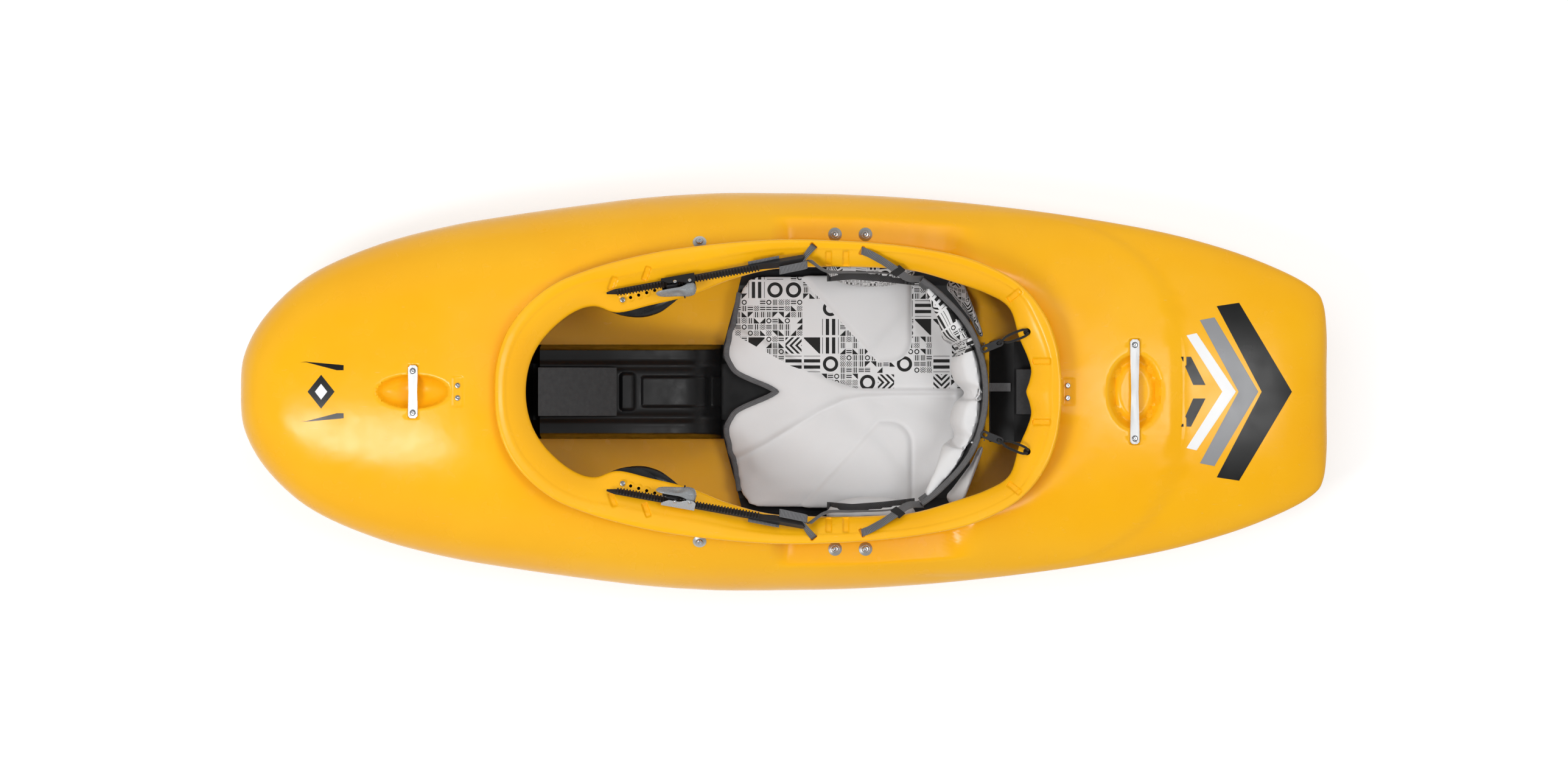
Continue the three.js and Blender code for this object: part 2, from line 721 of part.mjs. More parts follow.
function hullShell() {
  const outer = solidOf(outerBody());
  let shell = outer;
  let hollow = solidOf(innerBody(hullWall));
  for (const handle of Object.values(handles)) {
    const frame = deckFrame(handle.x, 0);
    const place = (cut) => solidOf(geometryOf(cut).applyMatrix4(frame));
    shell = shell.subtract(place(handleCuts(handle, 0)));
    hollow = hollow.subtract(place(handleCuts(handle, hullWall)));
  }
  shell = shell.subtract(hollow);
  for (const { x, spacing, padLength, padWidth } of Object.values(pillarScrews)) {
    const frame = deckFrame(x, 0);
    const pad = block(padLength, padWidth, 2 * padDepth);
    shell = shell.subtract(solidOf(pad.applyMatrix4(frame)));
    for (const side of [-1, 1]) shell = shell.subtract(screwHole(frame, (side * spacing) / 2));
  }
  for (const handle of Object.values(handles)) {
    const frame = deckFrame(handle.x, 0);
    for (const side of [-1, 1]) shell = shell.subtract(screwHole(frame, handleScrewY(handle, side)));
  }
  for (const cut of sideCuts(shell)) {
    shell = shell.subtract(cut).subtract(mirrored(cut));
  }
  return shell;
}

function sideCuts(shell) {
  const cuts = boltPlaces.map(({ x, y }) =>
    solidOf(bore(deckBolt.shank + fit, -overrun, overrun, holeSides).applyMatrix4(deckFrame(x, y))),
  );
  const rimTop = surfaceFinder(shell);
  for (let n = 0; n < hookRow.count; n += 1) {
    const { x, y } = hookHole(n);
    const hole = bore(hookScrew.shank + fit, -overrun, overrun, holeSides);
    cuts.push(solidOf(hole.translate(x, y, rimTop(x, y))));
  }
  pocketShares.forEach((shares, n) => {
    const { x, y } = rimPlace(shares);
    cuts.push(rimPocket(rimTop, x, y, pocketTurns[n], pocket.length, pocket.width, pocket.depth));
  });
  for (const { x, y, turn, length, width } of [sideSlot, hipSlot]) {
    cuts.push(rimPocket(rimTop, x, y, turn, length, width, overrun));
  }
  const { x, y, radius } = loopHole;
  cuts.push(solidOf(rod(radius, -overrun, overrun, 10).translate(x, y, rimTop(x, y))));
  return cuts;
}

// A box let into the rim's face to a depth, turned in plan and lying along the face's own slope
function rimPocket(rimTop, x, y, turn, length, width, depth) {
  const angle = THREE.MathUtils.degToRad(turn);
  const along = new THREE.Vector3(Math.cos(angle), Math.sin(angle), 0);
  const step = length / 4;
  const high = rimTop(x + along.x * step, y + along.y * step);
  const low = rimTop(x - along.x * step, y - along.y * step);
  along.setZ((high - low) / (2 * step)).normalize();
  const across = up.clone().cross(along).normalize();
  const frame = new THREE.Matrix4().makeBasis(along, across, along.clone().cross(across));
  frame.setPosition(x, y, rimTop(x, y));
  const box = block(length, width, overrun + depth, 0, 0, (overrun - depth) / 2);
  return solidOf(box.applyMatrix4(frame));
}

// Height of the highest face of a solid over a place in plan
function surfaceFinder(solid) {
  const target = new THREE.Mesh(geometryOf(solid), hullPlastic);
  const probe = new THREE.Raycaster();
  const start = rimFrontHeight + hullBeam;
  const find = (x, y) => {
    probe.set(new THREE.Vector3(x, y, start), new THREE.Vector3(0, 0, -1));
    const hit = probe.intersectObject(target)[0];
    return hit ? hit.point.z : 0;
  };
  find.geometry = target.geometry;
  return find;
}

const hull = hullShell();
const hullTop = surfaceFinder(hull);

// Height of the deck's underside over a place in plan, above the level of the gunwale
function hullCeiling(x, y) {
  const target = new THREE.Mesh(hullTop.geometry, hullPlastic);
  const probe = new THREE.Raycaster();
  probe.set(new THREE.Vector3(x, y, gunwaleHeight), up);
  const hit = probe.intersectObject(target)[0];
  return hit ? hit.point.z : gunwaleHeight;
}

// Space inside the hull that fitted pieces may fill, with room for the dents and screws of the deck
function roomForFittings() {
  let space = solidOf(innerBody(hullWall + fit));
  for (const handle of Object.values(handles)) {
    const frame = deckFrame(handle.x, 0);
    const dent = geometryOf(handleCuts(handle, hullWall + fit)).applyMatrix4(frame);
    space = space.subtract(solidOf(dent));
    for (const side of [-1, 1]) space = space.subtract(screwHole(frame, handleScrewY(handle, side)));
  }
  for (const { x, spacing } of Object.values(pillarScrews)) {
    const frame = deckFrame(x, 0);
    for (const side of [-1, 1]) space = space.subtract(screwHole(frame, (side * spacing) / 2));
  }
  return space;
}

const fittedSpace = roomForFittings();
const headroom = rimFrontHeight;

// Pillars and foam blocks between the floor and the deck
const pillarEnds = { ahead: 44, slope: 58, shoulder: 11.5, knee: 157.5, hump: 50, toe: 2 };
const seatAhead = 100;
const seatFrontX = cockpitCentreX - seatAhead;
const bandToOpening = 76.5;
const bandRearX = openingRearX - bandToOpening;
const pillar = {
  frontX: pillarScrews.front.x - pillarEnds.ahead, halfWidth: 50, baseHalfWidth: 84, baseHeight: 20,
  slopeTopX: pillarScrews.front.x + pillarEnds.slope,
  shoulderX: openingFrontX + pillarEnds.shoulder, shoulderZ: 205,
  kneeX: openingFrontX + pillarEnds.knee, kneeZ: 132,
  humpX: seatFrontX - pillarEnds.hump, humpZ: 92, toeX: seatFrontX - pillarEnds.toe,
};
const pillarPocket = { frontShare: 0.343, rearShare: 1.186, halfWidth: 28, depth: 12 };
const railHeight = 29.5;
const railInset = 9;
const pillarRearX = bandRearX - railInset;
const seatInset = 25;

function frontPillar() {
  const p = pillar;
  const topLine = [
    [p.slopeTopX, headroom], [p.shoulderX, p.shoulderZ], [p.kneeX, p.kneeZ],
    [p.humpX, p.humpZ], [p.toeX, railHeight],
  ];
  const footLine = [[p.frontX, headroom], [p.frontX, 0], [pillarRearX, 0], [pillarRearX, railHeight]];
  const beam = sidePrism([...footLine, ...topLine.slice().reverse()], p.halfWidth);
  const base = sidePrism(
    [[p.slopeTopX, 0], [pillarRearX, 0], [pillarRearX, p.baseHeight], [p.slopeTopX, p.baseHeight]],
    p.baseHalfWidth,
  );
  const at = (x) => mix(p.kneeZ, p.humpZ, (x - p.kneeX) / (p.humpX - p.kneeX)) - pillarPocket.depth;
  const { frontShare, rearShare, halfWidth } = pillarPocket;
  const [frontX, rearX] = [frontShare, rearShare].map((share) => mix(p.kneeX, p.humpX, share));
  const pocket = sidePrism(
    [[frontX, at(frontX)], [rearX, at(rearX)], [rearX, headroom], [frontX, headroom]],
    halfWidth,
  );
  return solidOf(beam).add(solidOf(base)).subtract(solidOf(pocket)).intersect(fittedSpace);
}

const frontFoam = { inset: 10, overhang: 2, halfWidth: 43, frontZ: 286, rearZ: 168 };

function frontFoamBlock() {
  const { inset, overhang, halfWidth, frontZ, rearZ } = frontFoam;
  const { shoulderX, shoulderZ, kneeX, kneeZ } = pillar;
  const [frontX, rearX] = [shoulderX + inset, kneeX + overhang];
  const seat = (x) => mix(shoulderZ, kneeZ, (x - shoulderX) / (kneeX - shoulderX)) + fit;
  return solidOf(
    sidePrism(
      [
        [frontX, seat(frontX)], [kneeX, kneeZ + fit], [rearX, kneeZ + fit], [rearX, rearZ],
        [frontX, frontZ],
      ],
      halfWidth,
    ),
  );
}

const foamHalfWidth = 38;
const bowFoamX = -872;
const sternFoamX = 872;

function foamPillar(fromX, toX) {
  const middleX = (fromX + toX) / 2;
  const column = block(toX - fromX, 2 * foamHalfWidth, headroom, middleX, 0, headroom / 2);
  return solidOf(column).intersect(fittedSpace);
}

// Seat pan: one moulded shell, with wings that rise to the deck bolts
const pan = {
  wall: 4, floorZ: 34, sideTopZ: 190, frontX: seatFrontX, rearX: bandRearX - seatInset, wingOverhang: 15,
  flangeFrontX: 62, flangeRearX: 174, flare: 20, frontBendShare: 0.2674, rearBendShare: 0.5432,
  boltPlay: 1.6,
};
const wingTopY = openingWidth / 2 + pan.wingOverhang;

// The backband's arc in plan, behind the seat and wider than the opening
const bandBesideOpening = 25;
const bandRadius = openingWidth / 2 + bandBesideOpening;
const bandCentreX = bandRearX - bandRadius;
const rearPillar = { gap: 5, slope: 42, ledge: 62, post: 60, halfWidth: 89, frontZ: 178, stepZ: 196 };
const rearFoam = { gap: 4, length: 26, halfWidth: 40, height: 20 };
const rearPillarX = bandRearX + rearPillar.gap;
const rearLedgeX = rearPillarX + rearPillar.slope;
const rearPostX = rearLedgeX + rearPillar.ledge;
const rearPillarEndX = rearPostX + rearPillar.post;

function rearPillarBody() {
  const { halfWidth, frontZ, stepZ } = rearPillar;
  const side = [
    [rearPillarX, 0], [rearPillarEndX, 0], [rearPillarEndX, headroom], [rearPostX, headroom],
    [rearPostX, stepZ], [rearLedgeX, stepZ], [rearPillarX, frontZ],
  ];
  return solidOf(sidePrism(side, halfWidth)).intersect(fittedSpace);
}

function rearFoamBlock() {
  const { gap, length, halfWidth, height } = rearFoam;
  const z = rearPillar.stepZ + fit + height / 2;
  return solidOf(block(length, 2 * halfWidth, height, rearLedgeX + gap + length / 2, 0, z));
}

// The pan's section from its middle to its side, as shares of the wing's distance and of the side's height
const panSectionShares = [
  [0, 0], [0.5508, 0], [0.8051, 0.0769], [0.911, 0.2179], [0.9407, 0.3462], [0.9788, 1],
];
const panLine = panSectionShares.map(([asideShare, riseShare]) => [
  asideShare * wingTopY,
  mix(pan.floorZ, pan.sideTopZ, riseShare),
]);

// Heights of the pan's ends, bends and wings, as shares of the headroom
const panRiseShares = {
  rearEnd: 0.2, rearBend: 0.2743, wingFoot: 0.56, wingRoot: 0.5886, frontBend: 0.2971, frontEnd: 0.2286,
};

// Right half of the pan from above, ahead of the wings and behind them, as shares of its length and
// of the wing's distance; each half reaches a little over the centre line, where the two are joined
const panFrontShares = [
  [0.0224, 0.1949], [0, 0.2627], [0.0045, 0.3559], [0.0179, 0.4576], [0.0493, 0.678], [0.0807, 0.9153],
  [0.1121, 1],
];
const panRearShares = [
  [0.852, 1], [0.9865, 0.6356], [1, 0.2542], [1, 0], [0.2152, 0], [0.1659, 0.0593], [0.0673, 0.1441],
];
const panX = (share) => mix(pan.frontX, pan.rearX, share);
const panRise = (name) => panRiseShares[name] * headroom;
const panSideView = [
  [pan.frontX, 0],
  [pan.rearX, 0],
  [pan.rearX, panRise("rearEnd")],
  [mix(pan.flangeRearX, pan.rearX, pan.rearBendShare), panRise("rearBend")],
  [pan.flangeRearX + pan.flare, panRise("wingFoot")],
  [pan.flangeRearX, panRise("wingRoot")],
  [pan.flangeRearX, headroom],
  [pan.flangeFrontX, headroom],
  [pan.flangeFrontX, panRise("wingRoot")],
  [pan.flangeFrontX - pan.flare, panRise("wingFoot")],
  [mix(pan.flangeFrontX, pan.frontX, pan.frontBendShare), panRise("frontBend")],
  [pan.frontX, panRise("frontEnd")],
];
const onPan = ([alongShare, asideShare]) => [panX(alongShare), asideShare * wingTopY];
const panPlanView = [
  ...panFrontShares.map(onPan),
  [pan.flangeFrontX, flangeOutY],
  [pan.flangeRearX, flangeOutY],
  ...panRearShares.map(onPan).map(([x, y]) => [x, y > 0 ? y : -pan.wall]),
];

function panFlangeZ() {
  const middleX = (pan.flangeFrontX + pan.flangeRearX) / 2;
  const places = [pan.flangeFrontX, middleX, pan.flangeRearX].flatMap((x) =>
    [wingTopY + 2 * pan.wall, seatBoltY, flangeOutY].map((y) => hullCeiling(x, y)),
  );
  return Math.min(...places) - 5 * fit;
}

// Height of the pan's upper face at a distance from the centre line
function panAt(y) {
  const reach = Math.abs(y);
  const n = Math.max(1, panLine.findIndex(([edge]) => edge >= reach));
  const [a, b] = [panLine[n - 1], panLine[n]];
  return mix(a[1], b[1], THREE.MathUtils.clamp((reach - a[0]) / (b[0] - a[0]), 0, 1));
}

// A strip of constant thickness below and outside a line of [y, z] points
function strip(line, thickness) {
  const under = line.map(([y, z], n) => {
    const [ay, az] = line[Math.max(n - 1, 0)];
    const [by, bz] = line[Math.min(n + 1, line.length - 1)];
    const length = Math.hypot(by - ay, bz - az);
    return [y + ((bz - az) / length) * thickness, z - ((by - ay) / length) * thickness];
  });
  return [...line, ...under.reverse()];
}

function seatPan() {
  const top = panFlangeZ();
  const line = [[-pan.wall, pan.floorZ], ...panLine, [wingTopY, top], [flangeOutY, top]];
  const half = solidOf(crossPrism(strip(line, pan.wall), pan.frontX, pan.rearX));
  const cut = solidOf(sidePrism(panSideView, hullBeam)).intersect(solidOf(prism(panPlanView, headroom)));
  let wing = half.intersect(cut);
  for (const x of seatBoltXs) {
    const hole = bore(deckBolt.shank + pan.boltPlay, 0, headroom, holeSides).translate(x, seatBoltY, 0);
    wing = wing.subtract(solidOf(hole));
  }
  return wing.add(mirrored(wing));
}

// Cushion on the pan, with raised thigh panels and leg channels
const cushion = {
  centreX: 100, thickness: 24, edgeShare: 0.45, panelRise: 7, channelDepth: 5, channelWidth: 9,
};
const cushionShares = [
  [0.2242, 0], [0.1749, 0.0551], [0.0852, 0.1314], [0.0314, 0.1907], [0.0135, 0.2627],
  [0.0157, 0.3475], [0.0291, 0.4576], [0.0516, 0.6695], [0.083, 0.8729], [0.157, 0.8983],
  [0.3812, 0.9025], [0.6502, 0.9025], [0.8184, 0.8644], [0.9103, 0.678], [0.9641, 0.4237],
  [0.9821, 0.1695], [0.9843, 0],
];
const panelPlace = { x: 66, y: 128, halfX: 158, halfY: 84, turn: -18 };
const channelShares = [
  [0.8969, 0.072], [0.6166, 0.072], [0.4709, 0.1441], [0.2691, 0.3305], [0.0224, 0.5424],
];
const channelLine = channelShares.map(onPan);
const cushionRings = [1, 0.97, 0.91, 0.83, 0.74, 0.64, 0.53, 0.41, 0.28, 0.14];

function distanceToLine(x, y, line) {
  let least = Infinity;
  for (let n = 1; n < line.length; n += 1) {
    const [[ax, ay], [bx, by]] = [line[n - 1], line[n]];
    const span = (bx - ax) ** 2 + (by - ay) ** 2;
    const share = THREE.MathUtils.clamp(((x - ax) * (bx - ax) + (y - ay) * (by - ay)) / span, 0, 1);
    least = Math.min(least, Math.hypot(x - mix(ax, bx, share), y - mix(ay, by, share)));
  }
  return least;
}

function cushionRelief(x, y) {
  const turn = THREE.MathUtils.degToRad(panelPlace.turn);
  const dx = x - panelPlace.x;
  const dy = Math.abs(y) - panelPlace.y;
  const u = (dx * Math.cos(turn) - dy * Math.sin(turn)) / panelPlace.halfX;
  const v = (dx * Math.sin(turn) + dy * Math.cos(turn)) / panelPlace.halfY;
  const panel = 1 - smooth(Math.hypot(u, v), 0.86, 1.04);
  const near = distanceToLine(x, Math.abs(y), channelLine) / cushion.channelWidth;
  return cushion.panelRise * panel - cushion.channelDepth * (1 - smooth(near, 0, 1));
}

function seatCushion() {
  const right = cushionShares.map(onPan).map(([x, y]) => new THREE.Vector3(x, y, 0));
  const left = right.slice(1, -1).reverse().map(({ x, y }) => new THREE.Vector3(x, -y, 0));
  const loop = new THREE.CatmullRomCurve3([...right, ...left], true, "centripetal");
  const outline = loop.getSpacedPoints(54).slice(0, -1);
  const ringAt = (share, height) =>
    outline.map(({ x, y }) => {
      const px = mix(cushion.centreX, x, share);
      const py = y * share;
      return new THREE.Vector3(px, py, height(px, py));
    });
  const bottom = (x, y) => panAt(y) + looseFit;
  const top = (share) => (x, y) => {
    const crown = share > 0.9 ? mix(cushion.edgeShare, 1, Math.sqrt((1 - share) / 0.1)) : 1;
    return bottom(x, y) + cushion.thickness * crown + (share > 0.9 ? 0 : cushionRelief(x, y));
  };
  return loft([
    ...[0.3, 0.7, 0.97].map((share) => ringAt(share, bottom)),
    ...cushionRings.map((share) => ringAt(share, top(share))),
  ]);
}

// Pads on the sides of the pan, and behind the backband
const hipPad = { x: 154, halfX: 84, bottomZ: 90, halfZ: 48, thickness: 40, roundness: 2.6 };

// A pad with a flat back in the plane y = 0 and a crowned face towards -y
function crownedPad({ halfX, halfZ, thickness, roundness }, around = 24, rings = 6) {
  const edge = (angle, share) => {
    const c = Math.cos(angle);
    const s = Math.sin(angle);
    const reach = Math.pow(Math.abs(c) ** roundness + Math.abs(s) ** roundness, -1 / roundness);
    return new THREE.Vector3(halfX * c * reach * share, 0, halfZ * s * reach * share);
  };
  const ring = (share, depth) =>
    Array.from({ length: around }, (_, n) => edge((n / around) * 2 * Math.PI, share).setY(-depth));
  const face = Array.from({ length: rings }, (_, n) => {
    const share = 1 - (n / rings) ** 1.3;
    return ring(share, thickness * (0.25 + 0.75 * Math.pow(1 - share ** 2.4, 0.6)));
  });
  return loft([ring(0.5, 0), ring(0.96, 0), ...face]);
}

// The pad's flat back lies along the straight side wall of the pan
function hipPadGroup(sideName) {
  const pad = piece(`hip_pad_${sideName}`, crownedPad(hipPad), greyCushion);
  const [[footY, footZ], [headY, headZ]] = panLine.slice(-2);
  const lean = Math.atan2(headY - footY, headZ - footZ);
  const rise = hipPad.bottomZ + hipPad.halfZ * Math.cos(lean);
  pad.rotation.x = -lean;
  const wallY = mix(footY, headY, (rise - footZ) / (headZ - footZ));
  pad.position.set(hipPad.x, wallY - fit / Math.cos(lean), rise);
  return pad;
}

// Backband: a stiff leaning shell with a pillowed pad in front of it
const band = {
  centreX: bandCentreX, radius: bandRadius, reachAngle: 57, lean: 34, bottomZ: 128, topZ: 258, wall: 4,
  binding: 9, bindingGrip: 2, bindingBulge: 3, padThickness: 32, padGap: 0.6, padInset: 4,
  creaseDepthShare: 0.55,
  axisShare: 0.76, taperShare: 0.66, taperStartShare: 0.42, taperEndShare: 0.8,
};
const creaseAngles = [-23, 0, 23];
const creaseWidth = 7;
const backbandTravel = 90;

function bandPoint(angle, inward, height) {
  const share = (height - band.bottomZ) / (band.topZ - band.bottomZ);
  const radius = band.radius - inward - band.lean * (1 - share);
  const turn = THREE.MathUtils.degToRad(angle);
  return new THREE.Vector3(band.centreX + radius * Math.cos(turn), radius * Math.sin(turn), height);
}

function bandStations(count, reach = band.reachAngle) {
  return Array.from({ length: count + 1 }, (_, n) => mix(-reach, reach, n / count));
}

function endTaper(angle) {
  const share = Math.abs(angle) / band.reachAngle;
  return 1 - band.taperShare * smooth(share, band.taperStartShare, band.taperEndShare);
}

function bandHeights(angle) {
  const middle = mix(band.bottomZ, band.topZ, band.axisShare);
  const taper = endTaper(angle);
  return [mix(middle, band.bottomZ, taper), mix(middle, band.topZ, taper)];
}

function backbandShell() {
  return loft(
    bandStations(24).map((angle) => {
      const [low, high] = bandHeights(angle);
      return [
        bandPoint(angle, 0, low),
        bandPoint(angle, band.wall, low),
        bandPoint(angle, band.wall, high - band.binding),
        bandPoint(angle, 0, high - band.binding),
      ];
    }),
  );
}

function backbandBinding() {
  const { wall, binding, bindingGrip, bindingBulge } = band;
  return loft(
    bandStations(24).map((angle) => {
      const [, high] = bandHeights(angle);
      const base = high - binding + fit;
      return [
        bandPoint(angle, wall + bindingGrip, base),
        bandPoint(angle, wall + bindingBulge, mix(base, high, 0.5)),
        bandPoint(angle, wall, high),
        bandPoint(angle, 0, high),
        bandPoint(angle, -bindingBulge, mix(base, high, 0.5)),
        bandPoint(angle, -bindingGrip, base),
      ];
    }),
  );
}

function backbandPad() {
  const stations = bandStations(44, band.reachAngle - 2);
  const steps = 7;
  return loft(
    stations.map((angle) => {
      const [low, high] = bandHeights(angle);
      const bottom = low + band.padInset;
      const top = high - band.binding - band.padInset / 2;
      const near = Math.min(...creaseAngles.map((crease) => Math.abs(angle - crease)));
      const crease = 1 - band.creaseDepthShare * (1 - smooth(near, 0, creaseWidth));
      const end = Math.sqrt(Math.max(0.12, 1 - (Math.abs(angle) / band.reachAngle) ** 4));
      const back = band.wall + band.padGap;
      const ring = [bandPoint(angle, back, top), bandPoint(angle, back, bottom)];
      for (let n = 1; n < steps; n += 1) {
        const share = n / steps;
        const bulge = Math.pow(Math.sin(Math.PI * share), 0.55);
        const depth = band.padThickness * crease * end * mix(0.16, 1, bulge);
        ring.push(bandPoint(angle, back + depth, mix(bottom, top, share)));
      }
      return ring;
    }),
  );
}

// Rear seat pads on the rising tail of the seat, outside the backband's arc
const tailPad = { lowZ: 60, frontZ: 150, rearZ: 196, gap: 9, depth: 33.4, slopeLength: 121 };

// Rear face of a tail pad: shares of the band's reach round its arc, and of the pad's depth behind the arc
const tailPadShares = [
  [0.8421, 0.9281], [0.7614, 1], [0.5228, 0.4671], [0.3123, 0.3593], [0.1982, 0.2874],
];

function tailPadBody() {
  const { lowZ, frontZ, rearZ, gap, depth, slopeLength } = tailPad;
  const place = (reachShare, behind) => {
    const turn = THREE.MathUtils.degToRad(reachShare * band.reachAngle);
    const reach = band.radius + behind;
    return [band.centreX + reach * Math.cos(turn), reach * Math.sin(turn)];
  };
  const rear = tailPadShares.map(([reachShare, depthShare]) => place(reachShare, depthShare * depth));
  const front = tailPadShares.map(([reachShare]) => place(reachShare, gap));
  const plan = prism([...rear, ...front.reverse()], rearZ);
  const [startX, endX] = [bandRearX - slopeLength, bandRearX + slopeLength];
  const above = sidePrism(
    [[startX, lowZ], [endX, lowZ], [endX, rearZ], [rearPillarX, rearZ], [startX, frontZ]],
    hullBeam,
  );
  return solidOf(plan).intersect(solidOf(above));
}

// Thigh brace: a moulded hook pad under the rim's hook, moved along the row of holes
const brace = {
  halfLength: 64, innerReach: 34, outerReach: 34, outerShare: 0.72, thickness: 22, depthShare: 0.62,
};
const braceTravel = (hookRow.count - 1) * hookRow.pitch;

function braceBody() {
  const steps = 12;
  const inner = [];
  for (let n = 0; n <= steps; n += 1) {
    const share = mix(-1, 1, n / steps);
    inner.push([share * brace.halfLength, -brace.innerReach * (1 - share * share)]);
  }
  const outerX = brace.halfLength * brace.outerShare;
  const outline = [...inner, [outerX, brace.outerReach], [-outerX, brace.outerReach]];
  const slab = solidOf(prism(outline, brace.thickness).translate(0, 0, -brace.thickness));
  const relief = solidOf(
    new THREE.CylinderGeometry(brace.halfLength, brace.halfLength, 4 * brace.halfLength, 24)
      .rotateZ(quarterTurn)
      .translate(0, brace.outerReach, -brace.halfLength - brace.thickness * (1 - brace.depthShare)),
  );
  return slab.subtract(relief);
}

// Under the opening's edge a tilted plane clears the whole rim
const hookPlaneDrop = rimFlangeDrop + rimEdgeDepth + fit;

function rimFrame(x, y, z, heading, roll) {
  const turn = new THREE.Matrix4().makeRotationY(-rimTilt);
  const aim = new THREE.Matrix4().makeRotationZ(THREE.MathUtils.degToRad(heading));
  const lean = new THREE.Matrix4().makeRotationX(THREE.MathUtils.degToRad(roll));
  return turn.multiply(aim).multiply(lean).setPosition(x, y, z);
}

function braceGroup(sideName) {
  const group = new THREE.Group();
  const middle = hookHole(1.6);
  const top = rimAt(middle.x) - hookPlaneDrop;
  group.add(piece(`thigh_brace_${sideName}`, braceBody(), blackPlastic));
  group.applyMatrix4(rimFrame(middle.x, middle.y, top, hookRow.angle, 0));
  return group;
}

function hookScrewPiece(sideName) {
  const screw = piece(`hook_screw_${sideName}`, fastener(hookScrew), steel);
  const { x, y } = hookHole(0);
  screw.position.set(x, y, rimTopAround(x, y, hookScrew.head) + fit);
  return screw;
}

function rimTopAround(x, y, radius) {
  const reach = [0, 1, 2, 3, 4, 5, 6, 7].map((n) => (n * Math.PI) / 4);
  return Math.max(...reach.map((a) => hullTop(x + radius * Math.cos(a), y + radius * Math.sin(a))));
}

// Ratchet: a toothed strap runs through a buckle; local x runs aft along the strap, y out of its teeth
const strap = {
  tipShares: [-0.6793, 0.7783], heading: 10, width: 22, thickness: 3.5, tooth: 3, pitch: 5.5,
  length: 276, endLength: 80, endThickness: 8, endRise: 2, tipLength: 14, roll: 140,
  taperLength: 26, tipShare: 0.45, windowLength: 14, windowInset: 16,
};
const buckle = {
  reach: 148, length: 60, sheet: 1.5, cheek: 17, pivotY: 13, pinRadius: 2.2, pinHead: 3.6, pawlReach: -26,
  aheadShare: 0.32, sideGap: 0.6, pawlDrop: 3, pinPlay: 0.15,
};

// Side views of the lever and the pawl, each about its own pivot, as shares of its own length
const leverLength = 62;
const pawlLength = 16;
const leverShares = [
  [-1, 0.0645], [-0.7419, 0.0887], [-0.4839, 0.0968], [-0.1935, 0.0887], [-0.1129, 0.0323],
  [-0.0806, 0], [-0.0581, -0.0581], [0, -0.0806], [0.0581, -0.0581], [0.0806, 0], [0.1129, 0.0645],
  [0.1935, 0.1935], [0.1452, 0.2903], [0, 0.3226], [-0.1613, 0.2742], [-0.3871, 0.2258],
  [-0.6452, 0.1613], [-0.9032, 0.1129], [-1, 0.0806],
];
const pawlShares = [
  [-1, 0.25], [-0.9375, 0.0625], [-0.25, 0], [-0.2125, -0.15], [0, -0.2125], [0.1875, -0.1875],
  [0.3125, -0.2875], [0.375, -0.275], [0.3125, 0], [0.1875, 0.1875], [-0.1875, 0.2812],
];
const thumbHollow = { length: 26, depth: 12, x: -20, y: 15, widthShare: 0.56 };
const grown = (shares, size) => shares.map(([along, rise]) => [along * size, rise * size]);

// The strap narrows towards its tip
function strapHalfWidth(along) {
  return (strap.width / 2) * mix(strap.tipShare, 1, Math.min(along / strap.taperLength, 1));
}

function toothedStrap() {
  const { length, pitch, tooth, thickness, tipLength, endLength, endThickness, endRise, width } = strap;
  const points = [[0, 0], [tipLength, -thickness / 2], [length, -thickness / 2]];
  points.push([length + endLength * 0.3, -endThickness / 2], [length + endLength, -endThickness / 2]);
  const endTop = endThickness / 2 + endRise;
  points.push([length + endLength, endTop], [length + endLength * 0.3, endTop]);
  points.push([length, thickness / 2]);
  const teeth = Math.floor((length - tipLength) / pitch) - 1;
  for (let n = 0; n < teeth; n += 1) {
    const x = length - (n + 0.5) * pitch;
    points.push([x, thickness / 2], [x - pitch * 0.1, thickness / 2 + tooth]);
    points.push([x - pitch * 0.5, thickness / 2 + tooth]);
  }
  points.push([tipLength, thickness / 2]);
  const tip = width * strap.tipShare / 2;
  const plan = sidePrism(
    [[0, -tip], [strap.taperLength, -width / 2], [length + endLength, -width / 2],
      [length + endLength, width / 2], [strap.taperLength, width / 2], [0, tip]],
    width,
  );
  const body = solidOf(prism(points, width).translate(0, 0, -width / 2)).intersect(solidOf(plan));
  const windowX = length + endLength - strap.windowInset;
  const window = block(strap.windowLength, 4 * endThickness, width * 0.62, windowX);
  return body.subtract(solidOf(window));
}

function cheekOutline() {
  const { length, cheek } = buckle;
  const back = -strap.thickness / 2 - looseFit - buckle.sheet;
  return [
    [-length * 0.82, back], [length * 0.18, back], [length * 0.18, cheek * 0.7], [length * 0.08, cheek],
    [-length * 0.06, cheek], [-length * 0.3, cheek * 0.62], [-length * 0.62, cheek * 0.62],
    [-length * 0.82, cheek * 0.1],
  ];
}

function buckleFrame() {
  const half = strap.width / 2 + buckle.sideGap;
  const cheek = (z) => solidOf(prism(cheekOutline(), buckle.sheet).translate(0, 0, z));
  const back = -strap.thickness / 2 - looseFit - buckle.sheet / 2;
  const plateX = -buckle.length * buckle.aheadShare;
  const plate = block(buckle.length, buckle.sheet, 2 * (half + buckle.sheet), plateX, back);
  let frame = cheek(half).add(cheek(-half - buckle.sheet)).add(solidOf(plate));
  for (const [x, y] of [[0, buckle.pivotY], [buckle.pawlReach, buckle.pivotY - buckle.pawlDrop]]) {
    const pin = rod(buckle.pinRadius, -half - buckle.sheet, half + buckle.sheet, 8);
    const heads = [1, -1].map((side) =>
      rod(buckle.pinHead, side * (half + buckle.sheet), side * (half + 2 * buckle.sheet), 8),
    );
    frame = frame.add(solidOf(pin.translate(x, y, 0)));
    for (const head of heads) frame = frame.add(solidOf(head.translate(x, y, 0)));
  }
  return frame;
}

